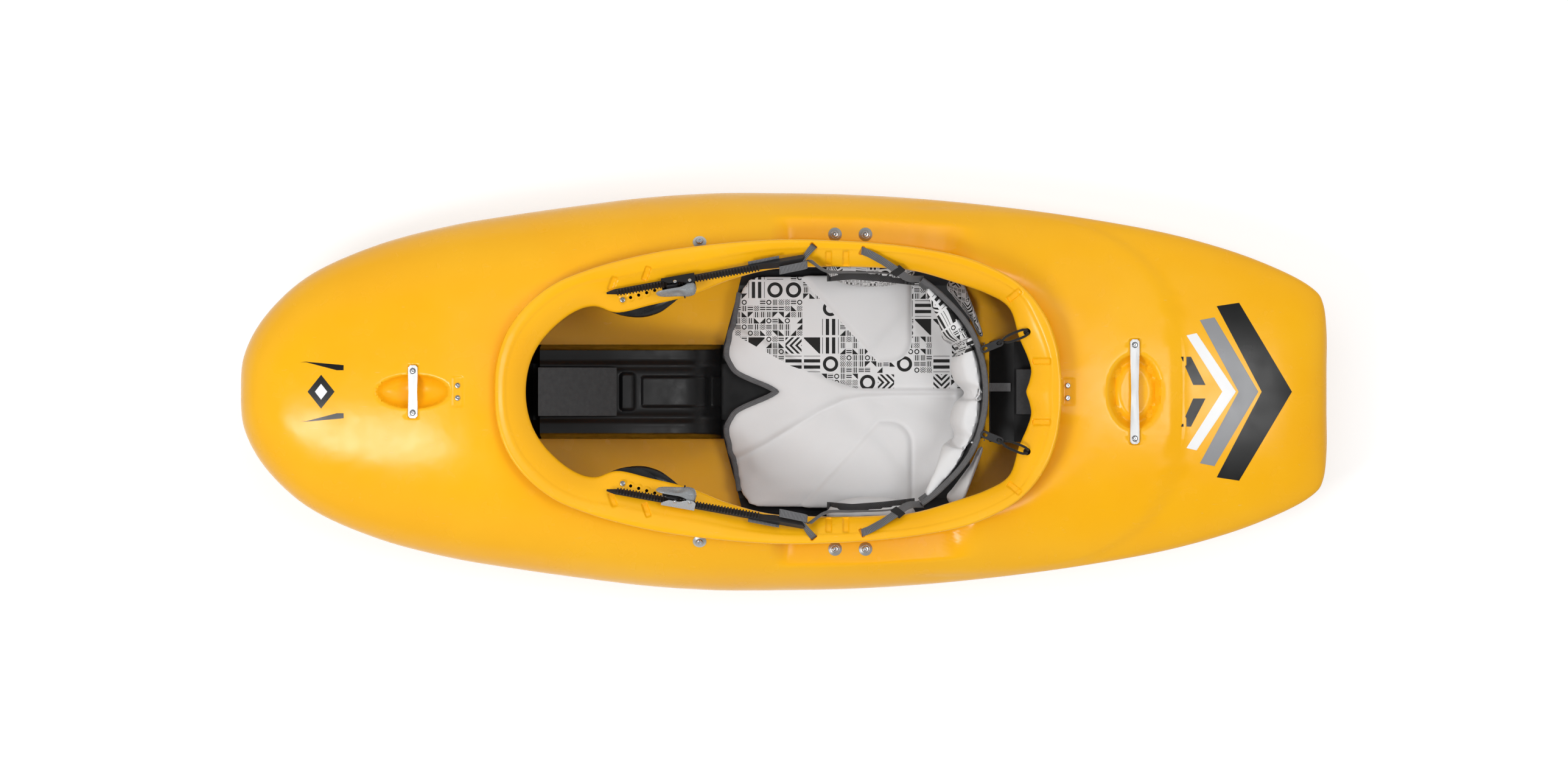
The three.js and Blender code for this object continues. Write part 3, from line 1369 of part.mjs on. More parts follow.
function leverBody() {
  const { length, depth, x, y, widthShare } = thumbHollow;
  const width = strap.width;
  const arm = solidOf(prism(grown(leverShares, leverLength), width).translate(0, 0, -width / 2));
  const hole = solidOf(rod(buckle.pinRadius + buckle.pinPlay, -width, width, 12));
  const thumb = solidOf(block(length, depth, width * widthShare, x, y, 0));
  return arm.subtract(hole).subtract(thumb);
}

function pawlBody() {
  const width = strap.width * 0.9;
  const body = solidOf(prism(grown(pawlShares, pawlLength), width).translate(0, 0, -width / 2));
  return body.subtract(solidOf(rod(buckle.pinRadius + buckle.pinPlay, -width, width, 12)));
}

const strapTip = openingPlace(strap.tipShares);

// Least height that keeps the buckle and the strap, over its whole travel, just clear of the rim
function strapBaseHeight() {
  const aim = rimFrame(0, 0, 0, strap.heading, strap.roll);
  const start = new THREE.Vector3(strapTip.x, strapTip.y, 0);
  const corners = geometryOf(buckleFrame()).translate(buckle.reach, 0, 0).getAttribute("position");
  const corner = (n) => new THREE.Vector3().fromBufferAttribute(corners, n);
  const places = Array.from({ length: corners.count }, (_, n) => corner(n));
  for (let along = 0; along <= strap.length + strap.endLength; along += strap.pitch) {
    for (const travel of [0, backbandTravel]) {
      for (const side of [-1, 1]) {
        const z = side * strapHalfWidth(along);
        places.push(new THREE.Vector3(along - travel, -strap.thickness / 2, z));
        places.push(new THREE.Vector3(along - travel, strap.thickness / 2 + strap.tooth, z));
      }
    }
  }
  const lifts = places.map((place) => {
    const point = place.applyMatrix4(aim).add(start);
    return hullTop(point.x, point.y) - point.z;
  });
  return Math.max(...lifts) + fit;
}

const strapFrame = rimFrame(strapTip.x, strapTip.y, strapBaseHeight(), strap.heading, strap.roll);

function ratchetGroup(sideName) {
  const group = new THREE.Group();
  group.add(piece(`ladder_strap_${sideName}`, toothedStrap(), blackPlastic));
  const housing = new THREE.Group();
  housing.position.x = buckle.reach;
  housing.add(piece(`buckle_frame_${sideName}`, buckleFrame(), steel));
  const lever = piece(`buckle_lever_${sideName}`, leverBody(), clearPlastic);
  lever.position.y = buckle.pivotY;
  const pawl = piece(`buckle_pawl_${sideName}`, pawlBody(), blackPlastic);
  pawl.position.set(buckle.pawlReach, buckle.pivotY - buckle.pawlDrop, 0);
  housing.add(lever, pawl);
  group.add(housing);
  group.applyMatrix4(strapFrame);
  return group;
}

// Webbing straps and elastic loops
const webbing = { width: 15, thickness: 1.6 };

// Side strap from the end of the toothed strap to the band: shares of the way along, of the opening's
// half width, and of the flange's drop below the rim's plane
const sideRouteShares = [[0.155, 0.968, 0.733], [0.394, 0.959, 1.7], [0.757, 0.946, 2.553]];
const sideStart = { past: 8, rise: 3 };
const sideEnd = { pastAngle: 0.95, z: 203 };

// Hip strap from its slot over the rim to the band: shares of the opening's half length, of the way in
// to the opening's edge, and of the strap's lift over the rim
const hipRouteShares = [[0.0268, 0.172, 1.05], [0.0804, 0.62, 1.12], [0.1251, 1.069, 1.6]];
const hipFallShares = [0.1832, 1.655, 0.3];
const hipLift = 5.8;
const hipEnd = { pastAngle: 0.3, z: 226 };

// Middle strap on the rear pillar: its place across, and how far it stands off
const middleRoute = { y: 8, startBack: 2, startRise: 6, bendX: 6, bendRise: 4, endBack: 6 };

function strapPoint(x, y, z) {
  return new THREE.Vector3(x, y, z).applyMatrix4(strapFrame);
}

function sideWebbing() {
  const start = strapPoint(strap.length + strap.endLength + sideStart.past, sideStart.rise, 0);
  const end = bandPoint(band.reachAngle + sideEnd.pastAngle, band.wall / 2, sideEnd.z);
  const between = sideRouteShares.map(([alongShare, asideShare, dropShare]) => {
    const x = mix(start.x, end.x, alongShare);
    return new THREE.Vector3(x, (asideShare * openingWidth) / 2, rimAt(x) - dropShare * rimFlangeDrop);
  });
  const lean = new THREE.Vector3(0, 0.3, 1);
  return ribbon([start, ...between, end], lean, up, webbing.width, webbing.thickness, 10);
}

function hipWebbing() {
  const place = (alongShare, asideShare) => [
    hipSlot.x + (alongShare * openingLength) / 2,
    mix(hipSlot.y, openingWidth / 2, asideShare),
  ];
  const over = hipRouteShares.map(([alongShare, asideShare, liftShare]) => {
    const [x, y] = place(alongShare, asideShare);
    return new THREE.Vector3(x, y, hullTop(x, y) + liftShare * hipLift);
  });
  const end = bandPoint(band.reachAngle + hipEnd.pastAngle, 0, hipEnd.z);
  const last = over[over.length - 1];
  const [fallAlong, fallAside, fallShare] = hipFallShares;
  const [fallX, fallY] = place(fallAlong, fallAside);
  const route = [
    new THREE.Vector3(hipSlot.x, hipSlot.y, hullTop(hipSlot.x - hipSlot.length, hipSlot.y) - hullWall),
    ...over,
    new THREE.Vector3(fallX, fallY, mix(hullTop(last.x, last.y), end.z, fallShare)),
    end,
  ];
  return ribbon(
    route,
    new THREE.Vector3(0.39, 0.92, 0.62),
    new THREE.Vector3(0.3, 0.8, 0.9),
    webbing.width,
    webbing.thickness,
    10,
  );
}

function middleWebbing() {
  const { frontZ, stepZ } = rearPillar;
  const { y, startBack, startRise, bendX, bendRise, endBack } = middleRoute;
  const gap = webbing.thickness / 2 + fit;
  const route = [
    new THREE.Vector3(rearPillarX - startBack, y, frontZ + startRise),
    new THREE.Vector3(rearPillarX + bendX, y, frontZ + gap + bendRise),
    new THREE.Vector3(rearLedgeX - endBack, y, stepZ + gap),
  ];
  const across = new THREE.Vector3(0, 1, 0);
  return ribbon(route, across, across, webbing.width, webbing.thickness, 8);
}

const clip = { length: 44, width: 14, thickness: 4, eye: 9, bar: 4, ahead: 82, inward: 33 };
const clipX = loopHole.x - clip.ahead;
const clipY = loopHole.y - clip.inward;
const clipZ = band.topZ + clip.thickness / 2 + fit;
const loopCord = { radius: 2, gap: 2.6, knotRadius: 7.2, lift: 0.8, turnIn: 6 };

// The loop round the clip's eye: along and aside in the cord's radii, and share of the height over it
const eyeRouteShares = [
  [8, 1.3, 1.2], [4, 0.5, 1], [1, 0.3, 0.7], [-0.5, 0, 0], [1, -0.3, -0.7], [4.5, -0.5, -1],
];
const eyeReturn = { along: 18, riseShare: 0.4 };

function clipFrame() {
  const heading = Math.atan2(loopHole.y - clipY, loopHole.x - clipX);
  return new THREE.Matrix4().makeRotationZ(heading).setPosition(clipX, clipY, clipZ);
}

function clipBody() {
  const { length, width, thickness, eye, bar } = clip;
  const edge = (x) => stadium(eye, width - 2 * bar, x).map(([a, b]) => new THREE.Vector2(a, b));
  const hole = (x) => new THREE.Path(edge(x));
  const outline = stadium(length, width, length / 2);
  const holes = [hole(bar + eye / 2), hole(length - bar - eye / 2)];
  return prism(outline, thickness, holes).translate(0, 0, -thickness / 2);
}

function elasticLoop() {
  const span = Math.hypot(loopHole.x - clipX, loopHole.y - clipY);
  const { radius, gap, knotRadius, lift, turnIn } = loopCord;
  const eyeX = clip.length - clip.bar - clip.eye / 2;
  const rise = clip.thickness / 2 + radius + 2 * looseFit;
  const top = hullTop(loopHole.x, loopHole.y + loopHole.radius + radius) - clipZ;
  const ride = top + radius + looseFit + lift;
  const under = hullTop(loopHole.x, loopHole.y - knotRadius) - hullWall - clipZ;
  const knotZ = under - knotRadius - fit;
  const eye = eyeRouteShares.map(([alongShare, asideShare, riseShare]) => [
    eyeX + alongShare * radius,
    asideShare * radius,
    riseShare * rise,
  ]);
  const back = [eyeX + eyeReturn.along, -gap, mix(-rise, ride, eyeReturn.riseShare)];
  eye[0][2] = mix(rise, ride, 0.5) + radius;
  const route = [
    [span, gap, knotZ], [span, gap, top], [span - turnIn, gap, ride], ...eye, back,
    [span - turnIn, -gap, ride], [span, -gap, top], [span, -gap, knotZ],
  ];
  const points = route.map(([x, y, z]) => new THREE.Vector3(x, y, z));
  const knot = new THREE.SphereGeometry(knotRadius, 8, 5).translate(span, 0, knotZ);
  return solidOf(cord(points, radius, 6, 28)).add(solidOf(knot));
}

function rearClipGroup(sideName) {
  const group = new THREE.Group();
  group.add(piece(`rear_clip_${sideName}`, clipBody(), blackPlastic));
  group.add(piece(`elastic_loop_${sideName}`, elasticLoop(), blackCord));
  group.applyMatrix4(clipFrame());
  return group;
}

// Everything that the kayak has once on each side, built for the right and mirrored for the left
function sideGroup(sideName) {
  const group = new THREE.Group();
  boltPlaces.forEach((place) => group.add(boltGroup(sideName, place)));
  group.add(hipPadGroup(sideName));
  group.add(piece(`tail_pad_${sideName}`, tailPadBody(), greyCushion));
  group.add(braceGroup(sideName));
  group.add(hookScrewPiece(sideName));
  group.add(ratchetGroup(sideName));
  group.add(piece(`side_webbing_${sideName}`, sideWebbing(), greyWebbing));
  group.add(piece(`hip_webbing_${sideName}`, hipWebbing(), greyWebbing));
  group.add(rearClipGroup(sideName));
  if (sideName === "left") group.scale.y = -1;
  return group;
}

const kayak = new THREE.Group();
kayak.add(piece("hull_shell", hull, hullPlastic));
kayak.add(handleGroup("bow", handles.bow), handleGroup("stern", handles.stern));
kayak.add(pillarScrewGroup("front", pillarScrews.front), pillarScrewGroup("rear", pillarScrews.rear));
kayak.add(piece("front_pillar", frontPillar(), blackPlastic));
kayak.add(piece("front_foam_block", frontFoamBlock(), darkFoam));
kayak.add(piece("bow_foam_pillar", foamPillar(bowFoamX, pillar.frontX - fit), darkFoam));
kayak.add(piece("rear_pillar", rearPillarBody(), blackPlastic));
kayak.add(piece("rear_foam_block", rearFoamBlock(), darkFoam));
kayak.add(piece("stern_foam_pillar", foamPillar(rearPillarEndX + fit, sternFoamX), darkFoam));
kayak.add(piece("middle_webbing", middleWebbing(), greyWebbing));
kayak.add(piece("seat_pan", seatPan(), blackPlastic));
kayak.add(piece("seat_cushion", seatCushion(), greyCushion));
kayak.add(piece("backband_shell", backbandShell(), blackPlastic));
kayak.add(piece("backband_binding", backbandBinding(), greyWebbing));
kayak.add(piece("backband_pad", backbandPad(), greyCushion));
kayak.add(sideGroup("right"), sideGroup("left"));

export default kayak;
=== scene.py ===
# %% [markdown]
# # A whitewater play kayak, seen from straight above
# The boat is a single rotomoulded polyethylene shell with a sewn and strapped cockpit inside it. The sizes
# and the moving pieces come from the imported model; this lesson gives them their real surfaces. Lengths are
# written in millimetres and turned to metres by one constant, so every number can be checked against the real
# boat.
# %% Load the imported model
import json
import math

import bmesh
import bpy
import numpy as np
from mathutils import Matrix, Vector
from mathutils.bvhtree import BVHTree


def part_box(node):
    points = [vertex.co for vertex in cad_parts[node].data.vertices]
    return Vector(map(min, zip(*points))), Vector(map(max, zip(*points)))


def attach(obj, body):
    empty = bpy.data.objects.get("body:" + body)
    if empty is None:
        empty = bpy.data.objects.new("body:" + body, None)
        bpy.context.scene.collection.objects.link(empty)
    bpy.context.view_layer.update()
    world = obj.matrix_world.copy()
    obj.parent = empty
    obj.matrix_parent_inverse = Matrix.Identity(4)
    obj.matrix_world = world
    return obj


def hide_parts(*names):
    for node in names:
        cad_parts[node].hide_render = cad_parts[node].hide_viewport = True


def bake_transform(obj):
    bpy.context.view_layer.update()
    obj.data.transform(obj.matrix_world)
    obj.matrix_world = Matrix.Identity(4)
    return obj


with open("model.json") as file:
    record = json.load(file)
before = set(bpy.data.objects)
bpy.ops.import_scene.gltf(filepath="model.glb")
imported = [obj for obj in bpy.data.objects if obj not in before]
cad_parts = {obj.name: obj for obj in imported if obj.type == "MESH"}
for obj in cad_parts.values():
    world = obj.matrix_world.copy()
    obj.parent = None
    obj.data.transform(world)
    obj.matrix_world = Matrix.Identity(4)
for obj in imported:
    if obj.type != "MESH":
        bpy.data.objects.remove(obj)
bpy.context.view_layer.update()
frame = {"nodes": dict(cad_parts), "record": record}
MM = 0.001
MERGE, FINE_MERGE = 1e-5, 1e-6
UP = Vector((0, 0, 1))
RIGHT_LEFT = (("right", 1), ("left", -1))

# %% [markdown]
# ## Helpers for shapes
# Most pieces of the boat are lofts: one cross-section carried along a line. A ring of edges is extruded ring
# by ring, and each new ring is moved to its place. The same helper writes a UV map in metres, so a weave can
# follow a strap round its bends.
# %% A loft made by extruding one ring


def finish_object(mesh_bm, name, smooth_angle=40):
    mesh = bpy.data.meshes.new(name)
    mesh_bm.to_mesh(mesh)
    mesh_bm.free()
    mesh.shade_smooth()
    mesh.set_sharp_from_angle(angle=math.radians(smooth_angle))
    piece = bpy.data.objects.new(name, mesh)
    bpy.context.scene.collection.objects.link(piece)
    return piece


def first_ring(bm, places):
    verts = [bm.verts.new(place) for place in places]
    return verts, [bm.edges.new(pair) for pair in zip(verts, verts[1:] + verts[:1])]


def extrude_ring(bm, verts, edges, places):
    made = bmesh.ops.extrude_edge_only(bm, edges=edges)["geom"]
    fresh = {item for item in made if isinstance(item, bmesh.types.BMVert)}
    new_verts = []
    for vert, place in zip(verts, places):
        partner = next(e.other_vert(vert) for e in vert.link_edges if e.other_vert(vert) in fresh)
        partner.co = place
        new_verts.append(partner)
    new_edges = [item for item in made if isinstance(item, bmesh.types.BMEdge) and item.verts[0] in fresh
                 and item.verts[1] in fresh]
    return new_verts, new_edges


def loft(name, rings, smooth_angle=40):
    """Rings of as many places each become one closed skin; u runs along it and v round it, both in metres."""
    bm = bmesh.new()
    verts, edges = first_ring(bm, rings[0])
    rows = [verts]
    for ring in rings[1:]:
        verts, edges = extrude_ring(bm, verts, edges, ring)
        rows.append(verts)
    for row in (rows[0], rows[-1]):
        bmesh.ops.poke(bm, faces=[bm.faces.new(row)])
    write_uv(bm, rows)
    bmesh.ops.recalc_face_normals(bm, faces=bm.faces)
    return finish_object(bm, name, smooth_angle)


def write_uv(bm, rows):
    """The middle row gives the distances round the loft; a face over the seam gets them past the full turn."""
    middle = len(rows) // 2
    round_steps = [0.0]
    for near, far in zip(rows[middle], rows[middle][1:] + rows[middle][:1]):
        round_steps.append(round_steps[-1] + (near.co - far.co).length)
    along = 0.0
    place = {}
    for n, row in enumerate(rows):
        if n:
            along += sum((a.co - b.co).length for a, b in zip(row, rows[n - 1])) / len(row)
        for i, vert in enumerate(row):
            place[vert] = (along, round_steps[i])
    layer = bm.loops.layers.uv.new("along")
    for face in bm.faces:
        spots = [place.get(loop.vert) for loop in face.loops]
        known = [spot for spot in spots if spot]
        wraps = max(v for _, v in known) - min(v for _, v in known) > round_steps[-1] / 2
        for loop, spot in zip(face.loops, spots):
            u, v = spot or known[0]
            if wraps and v < round_steps[-1] / 2:
                v += round_steps[-1]
            loop[layer].uv = (u, v)


def spun(name, profile, place, normal, steps=32, smooth_angle=35):
    """A turned piece: a profile of (radius, height) in metres, spun about the normal at a place."""
    bm = bmesh.new()
    verts = [bm.verts.new((radius, 0, height)) for radius, height in profile]
    edges = [bm.edges.new(pair) for pair in zip(verts, verts[1:])]
    bmesh.ops.spin(bm, geom=verts + edges, cent=(0, 0, 0), axis=(0, 0, 1), angle=2 * math.pi, steps=steps,
                   use_merge=True)
    bmesh.ops.remove_doubles(bm, verts=bm.verts, dist=FINE_MERGE)
    bmesh.ops.recalc_face_normals(bm, faces=bm.faces)
    turn = UP.rotation_difference(Vector(normal)).to_matrix().to_4x4()
    bmesh.ops.transform(bm, matrix=Matrix.Translation(place) @ turn, verts=bm.verts)
    return finish_object(bm, name, smooth_angle)


def for_side(rings, sign):
    """The rings as they are on the right, or their mirror image on the left."""
    return rings if sign > 0 else [[Vector((x, -y, z)) for x, y, z in ring] for ring in rings]


def turns(count):
    """Angles at equal steps once round."""
    return [2 * math.pi * k / count for k in range(count)]


print("two helpers make skins: loft and spun")

# %% [markdown]
# ## The hull's form in numbers
# The hull is drawn as three loops in plan: the widest line of the boat, the outer edge of the cockpit rim and
# the edge of the opening. A crown lifts the deck above the widest line and a rocker curves the bottom. These
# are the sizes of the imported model, so the fine skin lies on it everywhere.
# %% Sizes of the hull
HALF_LENGTH = 965 * MM
HALF_BEAM = 353 * MM
HULL_WALL = 5 * MM
GUNWALE = 168 * MM
BOW_RISE = 40 * MM
STERN_DROP = 22 * MM
BOW_ROCKER = 118 * MM
STERN_ROCKER = 82 * MM
PLANING_BOW = 180 * MM
PLANING_STERN = 220 * MM
PLANING_SINK = 3 * MM
DECK_CROWN = 152 * MM
COCKPIT_X = -10 * MM
RIM_HALF = (502 * MM, 270 * MM)
OPENING_HALF = (447.5 * MM, 221 * MM)
RIM_FRONT = 350 * MM
RIM_REAR = 285 * MM
LIP_THICKNESS = 12 * MM
LIP_OVERHANG = 22 * MM
LIP_ROUND = 4 * MM
FLANGE_DROP = 30 * MM
EDGE_DEPTH = 12 * MM
NECK_FOOT = 10 * MM
TROUGH = 4 * MM
ROCKER_POWER = 1.9
# the bolts' shelf starts and ends between these places, and is level outside this share of the half width
SHELF_FRONT, SHELF_REAR, SHELF_LEVEL = (-23 * MM, 3 * MM), (294 * MM, 346 * MM), 0.875
# shares of the half length and the half beam, then the crown ahead of the tail, its step and the step's edge
TAIL_START, TAIL_REACH, TAIL_WIDTH = 0.25, 0.48, 0.925
TAIL_TOP, TAIL_STEP, TAIL_EDGE = 1.12, 0.12, (0.96, 1.035)
# powers of the superellipses that round the boat's ends, its crown and its bottom
END_ROUND, CROWN_ROUND, BOTTOM_ROUND = (24, 2), (2.2, 1.8), (5, 1.6)

GUNWALE_SHARES = [
    (-1, 0), (-0.992, 0.2), (-0.949, 0.402), (-0.87, 0.592), (-0.75, 0.738), (-0.622, 0.832),
    (-0.499, 0.89), (-0.375, 0.938), (-0.249, 0.979), (-0.124, 1), (0, 1), (0.13, 0.992),
    (0.269, 0.968), (0.415, 0.927), (0.56, 0.872), (0.705, 0.799), (0.829, 0.705), (0.925, 0.6),
    (0.977, 0.515), (0.994, 0.44), (1, 0.3), (1, 0.1), (1, 0),
]
RIM_SHARES = [
    (-1, 0), (-0.992, 0.2), (-0.955, 0.4), (-0.886, 0.57), (-0.787, 0.711), (-0.667, 0.802),
    (-0.548, 0.867), (-0.408, 0.923), (-0.269, 0.959), (-0.13, 0.985), (0.02, 1), (0.179, 0.994),
    (0.349, 0.975), (0.508, 0.94), (0.667, 0.878), (0.801, 0.77), (0.886, 0.645), (0.948, 0.48),
    (0.98, 0.32), (0.992, 0.2), (0.998, 0.11), (1, 0.04), (1, 0),
]
OPENING_SHARES = [
    (-1, 0), (-0.987, 0.2), (-0.95, 0.37), (-0.887, 0.52), (-0.807, 0.64), (-0.727, 0.684),
    (-0.637, 0.634), (-0.512, 0.69), (-0.345, 0.774), (-0.192, 0.896), (-0.02, 0.982), (0.178, 1),
    (0.367, 0.996), (0.532, 0.97), (0.684, 0.885), (0.824, 0.787), (0.914, 0.67), (0.952, 0.44),
    (0.984, 0.29), (1, 0.18), (0.994, 0.09), (0.984, 0.03), (0.981, 0),
]
CROWN_SHARES = [
    (-1, 0.46), (-0.8, 0.645), (-0.62, 0.84), (-0.5, 0.895), (-0.3, 0.97), (0, 1),
    (0.3, 0.78), (0.5, 0.5), (0.7, 0.41), (0.85, 0.33), (1, 0.24),
]
RAY_COUNT = 304

# %% The loops, sampled along shared rays


def loop_points(shares, centre_x, half_x, half_y, count):
    """Places at equal steps round a closed Catmull-Rom curve through the shares and their mirror image."""
    right = [(centre_x + x * half_x, y * half_y) for x, y in shares]
    knots = np.array(right + [(x, -y) for x, y in reversed(right[1:-1])])
    total = len(knots)
    t = np.arange(count) * total / count
    n = t.astype(int)
    w = (t - n)[:, None]
    a, b, c, d = (knots[(n + k) % total] for k in (-1, 0, 1, 2))
    slope_b = (c - a) / 2
    slope_c = (d - b) / 2
    return ((2 * b - 2 * c + slope_b + slope_c) * w**3 + (3 * c - 3 * b - 2 * slope_b - slope_c) * w**2
            + slope_b * w + b)


gunwale_loop = loop_points(GUNWALE_SHARES, 0, HALF_LENGTH, HALF_BEAM, RAY_COUNT)
rim_loop = loop_points(RIM_SHARES, COCKPIT_X, *RIM_HALF, RAY_COUNT)
opening_loop = loop_points(OPENING_SHARES, COCKPIT_X, *OPENING_HALF, RAY_COUNT)
half_plan = loop_points(GUNWALE_SHARES, 0, HALF_LENGTH, HALF_BEAM, 8 * RAY_COUNT)[: 4 * RAY_COUNT + 1]
ray_span = np.linalg.norm(rim_loop - opening_loop, axis=1)
ray_out = (rim_loop - opening_loop) / ray_span[:, None]
print("beam", round(2 * half_plan[:, 1].max() / MM), "mm, rim reaches", round(ray_span.max() / MM), "mm")

# %% Deck and bottom heights


def smooth(value, low, high):
    share = np.clip((value - low) / (high - low), 0, 1)
    return share * share * (3 - 2 * share)


def table_value(table, x):
    """Smooth curve through a table, with the slopes of a Catmull-Rom curve."""
    xs, ys = np.array(table).T
    last = len(xs) - 1
    n = np.clip(np.searchsorted(xs, x, side="left") - 1, 0, last - 1)
    span = xs[n + 1] - xs[n]
    w = np.clip((x - xs[n]) / span, 0, 1)
    before = np.maximum(n - 1, 0)
    after = np.minimum(n + 2, last)
    slope_a = (ys[n + 1] - ys[before]) / (xs[n + 1] - xs[before]) * span
    slope_b = (ys[after] - ys[n]) / (xs[after] - xs[n]) * span
    return (ys[n] * (2 * w**3 - 3 * w**2 + 1) + slope_a * (w**3 - 2 * w**2 + w)
            + ys[n + 1] * (3 * w**2 - 2 * w**3) + slope_b * (w**3 - w**2))


def superellipse(share, across, root):
    return np.maximum(0, 1 - np.minimum(np.abs(share), 1) ** across) ** (1 / root)


def half_width_at(x):
    return np.interp(x, half_plan[:, 0], np.maximum(half_plan[:, 1], 1e-6))


def gunwale_at(x):
    share = x / HALF_LENGTH
    return GUNWALE + np.where(share < 0, BOW_RISE, -STERN_DROP) * share**2


def keel_rise(x):
    flat = np.where(x < 0, PLANING_BOW, PLANING_STERN)
    share = np.clip((np.abs(x) - flat) / (HALF_LENGTH - flat), 0, 1)
    return np.where(x < 0, BOW_ROCKER, STERN_ROCKER) * share**ROCKER_POWER


def tail_raise(x, y):
    """The crown is higher everywhere but on the tail, which a rounded step sets lower."""
    behind = x / HALF_LENGTH - TAIL_START
    reach = (np.maximum(behind, 0) / TAIL_REACH) ** 3 + (np.abs(y) / HALF_BEAM / TAIL_WIDTH) ** 3
    return TAIL_TOP - TAIL_STEP * np.where(behind < 0, 0, smooth(reach, *TAIL_EDGE))


def skin(x, y, inset=0.0):
    """Top and bottom of the hull's skin, or of the skin that lies an inset further in."""
    plan_x = x * HALF_LENGTH / (HALF_LENGTH - inset)
    plan_y = y * HALF_BEAM / (HALF_BEAM - inset)
    ahead = np.clip(plan_x / HALF_LENGTH, -1, 1)
    across = np.minimum(np.abs(plan_y) / half_width_at(plan_x), 1)
    shelf = smooth(plan_x, *SHELF_FRONT) * (1 - smooth(plan_x, *SHELF_REAR))
    level = across + (np.maximum(across, SHELF_LEVEL) - across) * shelf
    gunwale = gunwale_at(plan_x)
    closure = superellipse(ahead, *END_ROUND)
    crown = DECK_CROWN * table_value(CROWN_SHARES, ahead) * closure * tail_raise(plan_x, plan_y)
    depth = (gunwale - keel_rise(plan_x) + PLANING_SINK) * closure
    thin_crown = crown**2 / (crown + inset + 1e-9)
    thin_depth = depth**2 / (depth + inset + 1e-9)
    top = gunwale + thin_crown * superellipse(level, *CROWN_ROUND)
    bottom = np.maximum(inset, gunwale - thin_depth * superellipse(across, *BOTTOM_ROUND))
    return top, bottom


def rim_plane(x):
    return RIM_FRONT + (RIM_REAR - RIM_FRONT) * (x - COCKPIT_X + RIM_HALF[0]) / (2 * RIM_HALF[0])


def deck_height(x, y):
    return float(skin(np.array([x]), np.array([y]))[0][0])


def deck_frame(x, y):
    """Place and outward normal on the deck, before its dents."""
    step = 4 * MM
    fall_x = deck_height(x - step, y) - deck_height(x + step, y)
    fall_y = deck_height(x, y - step) - deck_height(x, y + step)
    return Vector((x, y, deck_height(x, y))), Vector((fall_x, fall_y, 2 * step)).normalized()


print("deck at the front of the rim:", round(deck_height(COCKPIT_X - RIM_HALF[0], 0) / MM), "mm high")

# %% [markdown]
# ## Dents that the mould leaves in the deck and the rim
# The hand recesses, the guides in the rim and the flats under the screws are soft-edged dents, because powder
# melts over the mould's inserts and rounds every corner. They are written as one depth at each place, so the
# same skin can be pushed in wherever a dent lies.
# %% Dents by place, turn, half sizes, depth and edge softness
BOWLS = [
    # x, y, half length, half width, depth
    (-657, 0, 63, 30, 30),
    (622, 0, 45, 66, 13),
]
BOWL_POWER, BOWL_LIP, BOWL_EDGE = 2.4, 1.6 * MM, (0.97, 1.1)
RING, RING_MIDDLE, RING_WIDTH = (622, 0, 45, 66, 11), 0.84, 0.13
FLATS = [
    # x, y, turn, length, width, depth, corner
    (-657, 0, 90, 97, 20, 3.2, 3),
    (622, 0, 90, 189, 20, 3.2, 3),
    (-578, 0, 90, 56, 20, 2, 4),
    (503, 0, 90, 50, 20, 2, 4),
    (-304, 191, 70, 27, 11.5, 4.6, 2.6),
    (-244, 209, 70, 27, 11.5, 4.6, 2.6),
    (78.5, 236, 90, 27, 12, 4.6, 2.6),
    (109, 236, 90, 27, 12, 4.6, 2.6),
    (407.5, 171, 40, 29, 12, 4.6, 2.6),
    (456, 54, 0, 33, 12, 4.6, 2.6),
]
FLAT_EDGE = (0.2, 1.15)
HOOK_PITCH, HOOK_TURN = 14.8, math.radians(16.6)
HOOK_ROW = [(-286 + n * HOOK_PITCH * math.cos(HOOK_TURN), 162.5 + n * HOOK_PITCH * math.sin(HOOK_TURN))
            for n in range(5)]
BOSS_FLAT, BOSS_FOOT, BOSS_RISE = 5.0 * MM, 8.6 * MM, 1.7 * MM
LEDGE = [(-262, 183), (-244, 187), (-182, 203), (-117, 208), (-63, 222), (-10, 238), (40, 250)]
LEDGE_DEPTH, LEDGE_LEAST_Y, LEDGE_BROW = 5 * MM, 150 * MM, (-3 * MM, 8 * MM)
LEDGE_START, LEDGE_END, LEDGE_FACE = (-262 * MM, -212 * MM), (-30 * MM, 40 * MM), (-10 * MM, -4 * MM)


def boss_depth(x, side_y):
    """Each hole of the hook rows stands on a small boss, so these depths are below zero."""
    depth = np.zeros_like(x)
    for cx, cy in HOOK_ROW:
        reach = np.hypot(x - cx * MM, side_y - cy * MM)
        depth = np.minimum(depth, -BOSS_RISE * (1 - smooth(reach, BOSS_FLAT, BOSS_FOOT)))
    return depth


def bowl_reach(x, y, cx, cy, half_x, half_y):
    """0 in the middle of a bowl and 1 on its edge."""
    return np.sqrt(((x - cx * MM) / (half_x * MM)) ** 2 + ((y - cy * MM) / (half_y * MM)) ** 2)


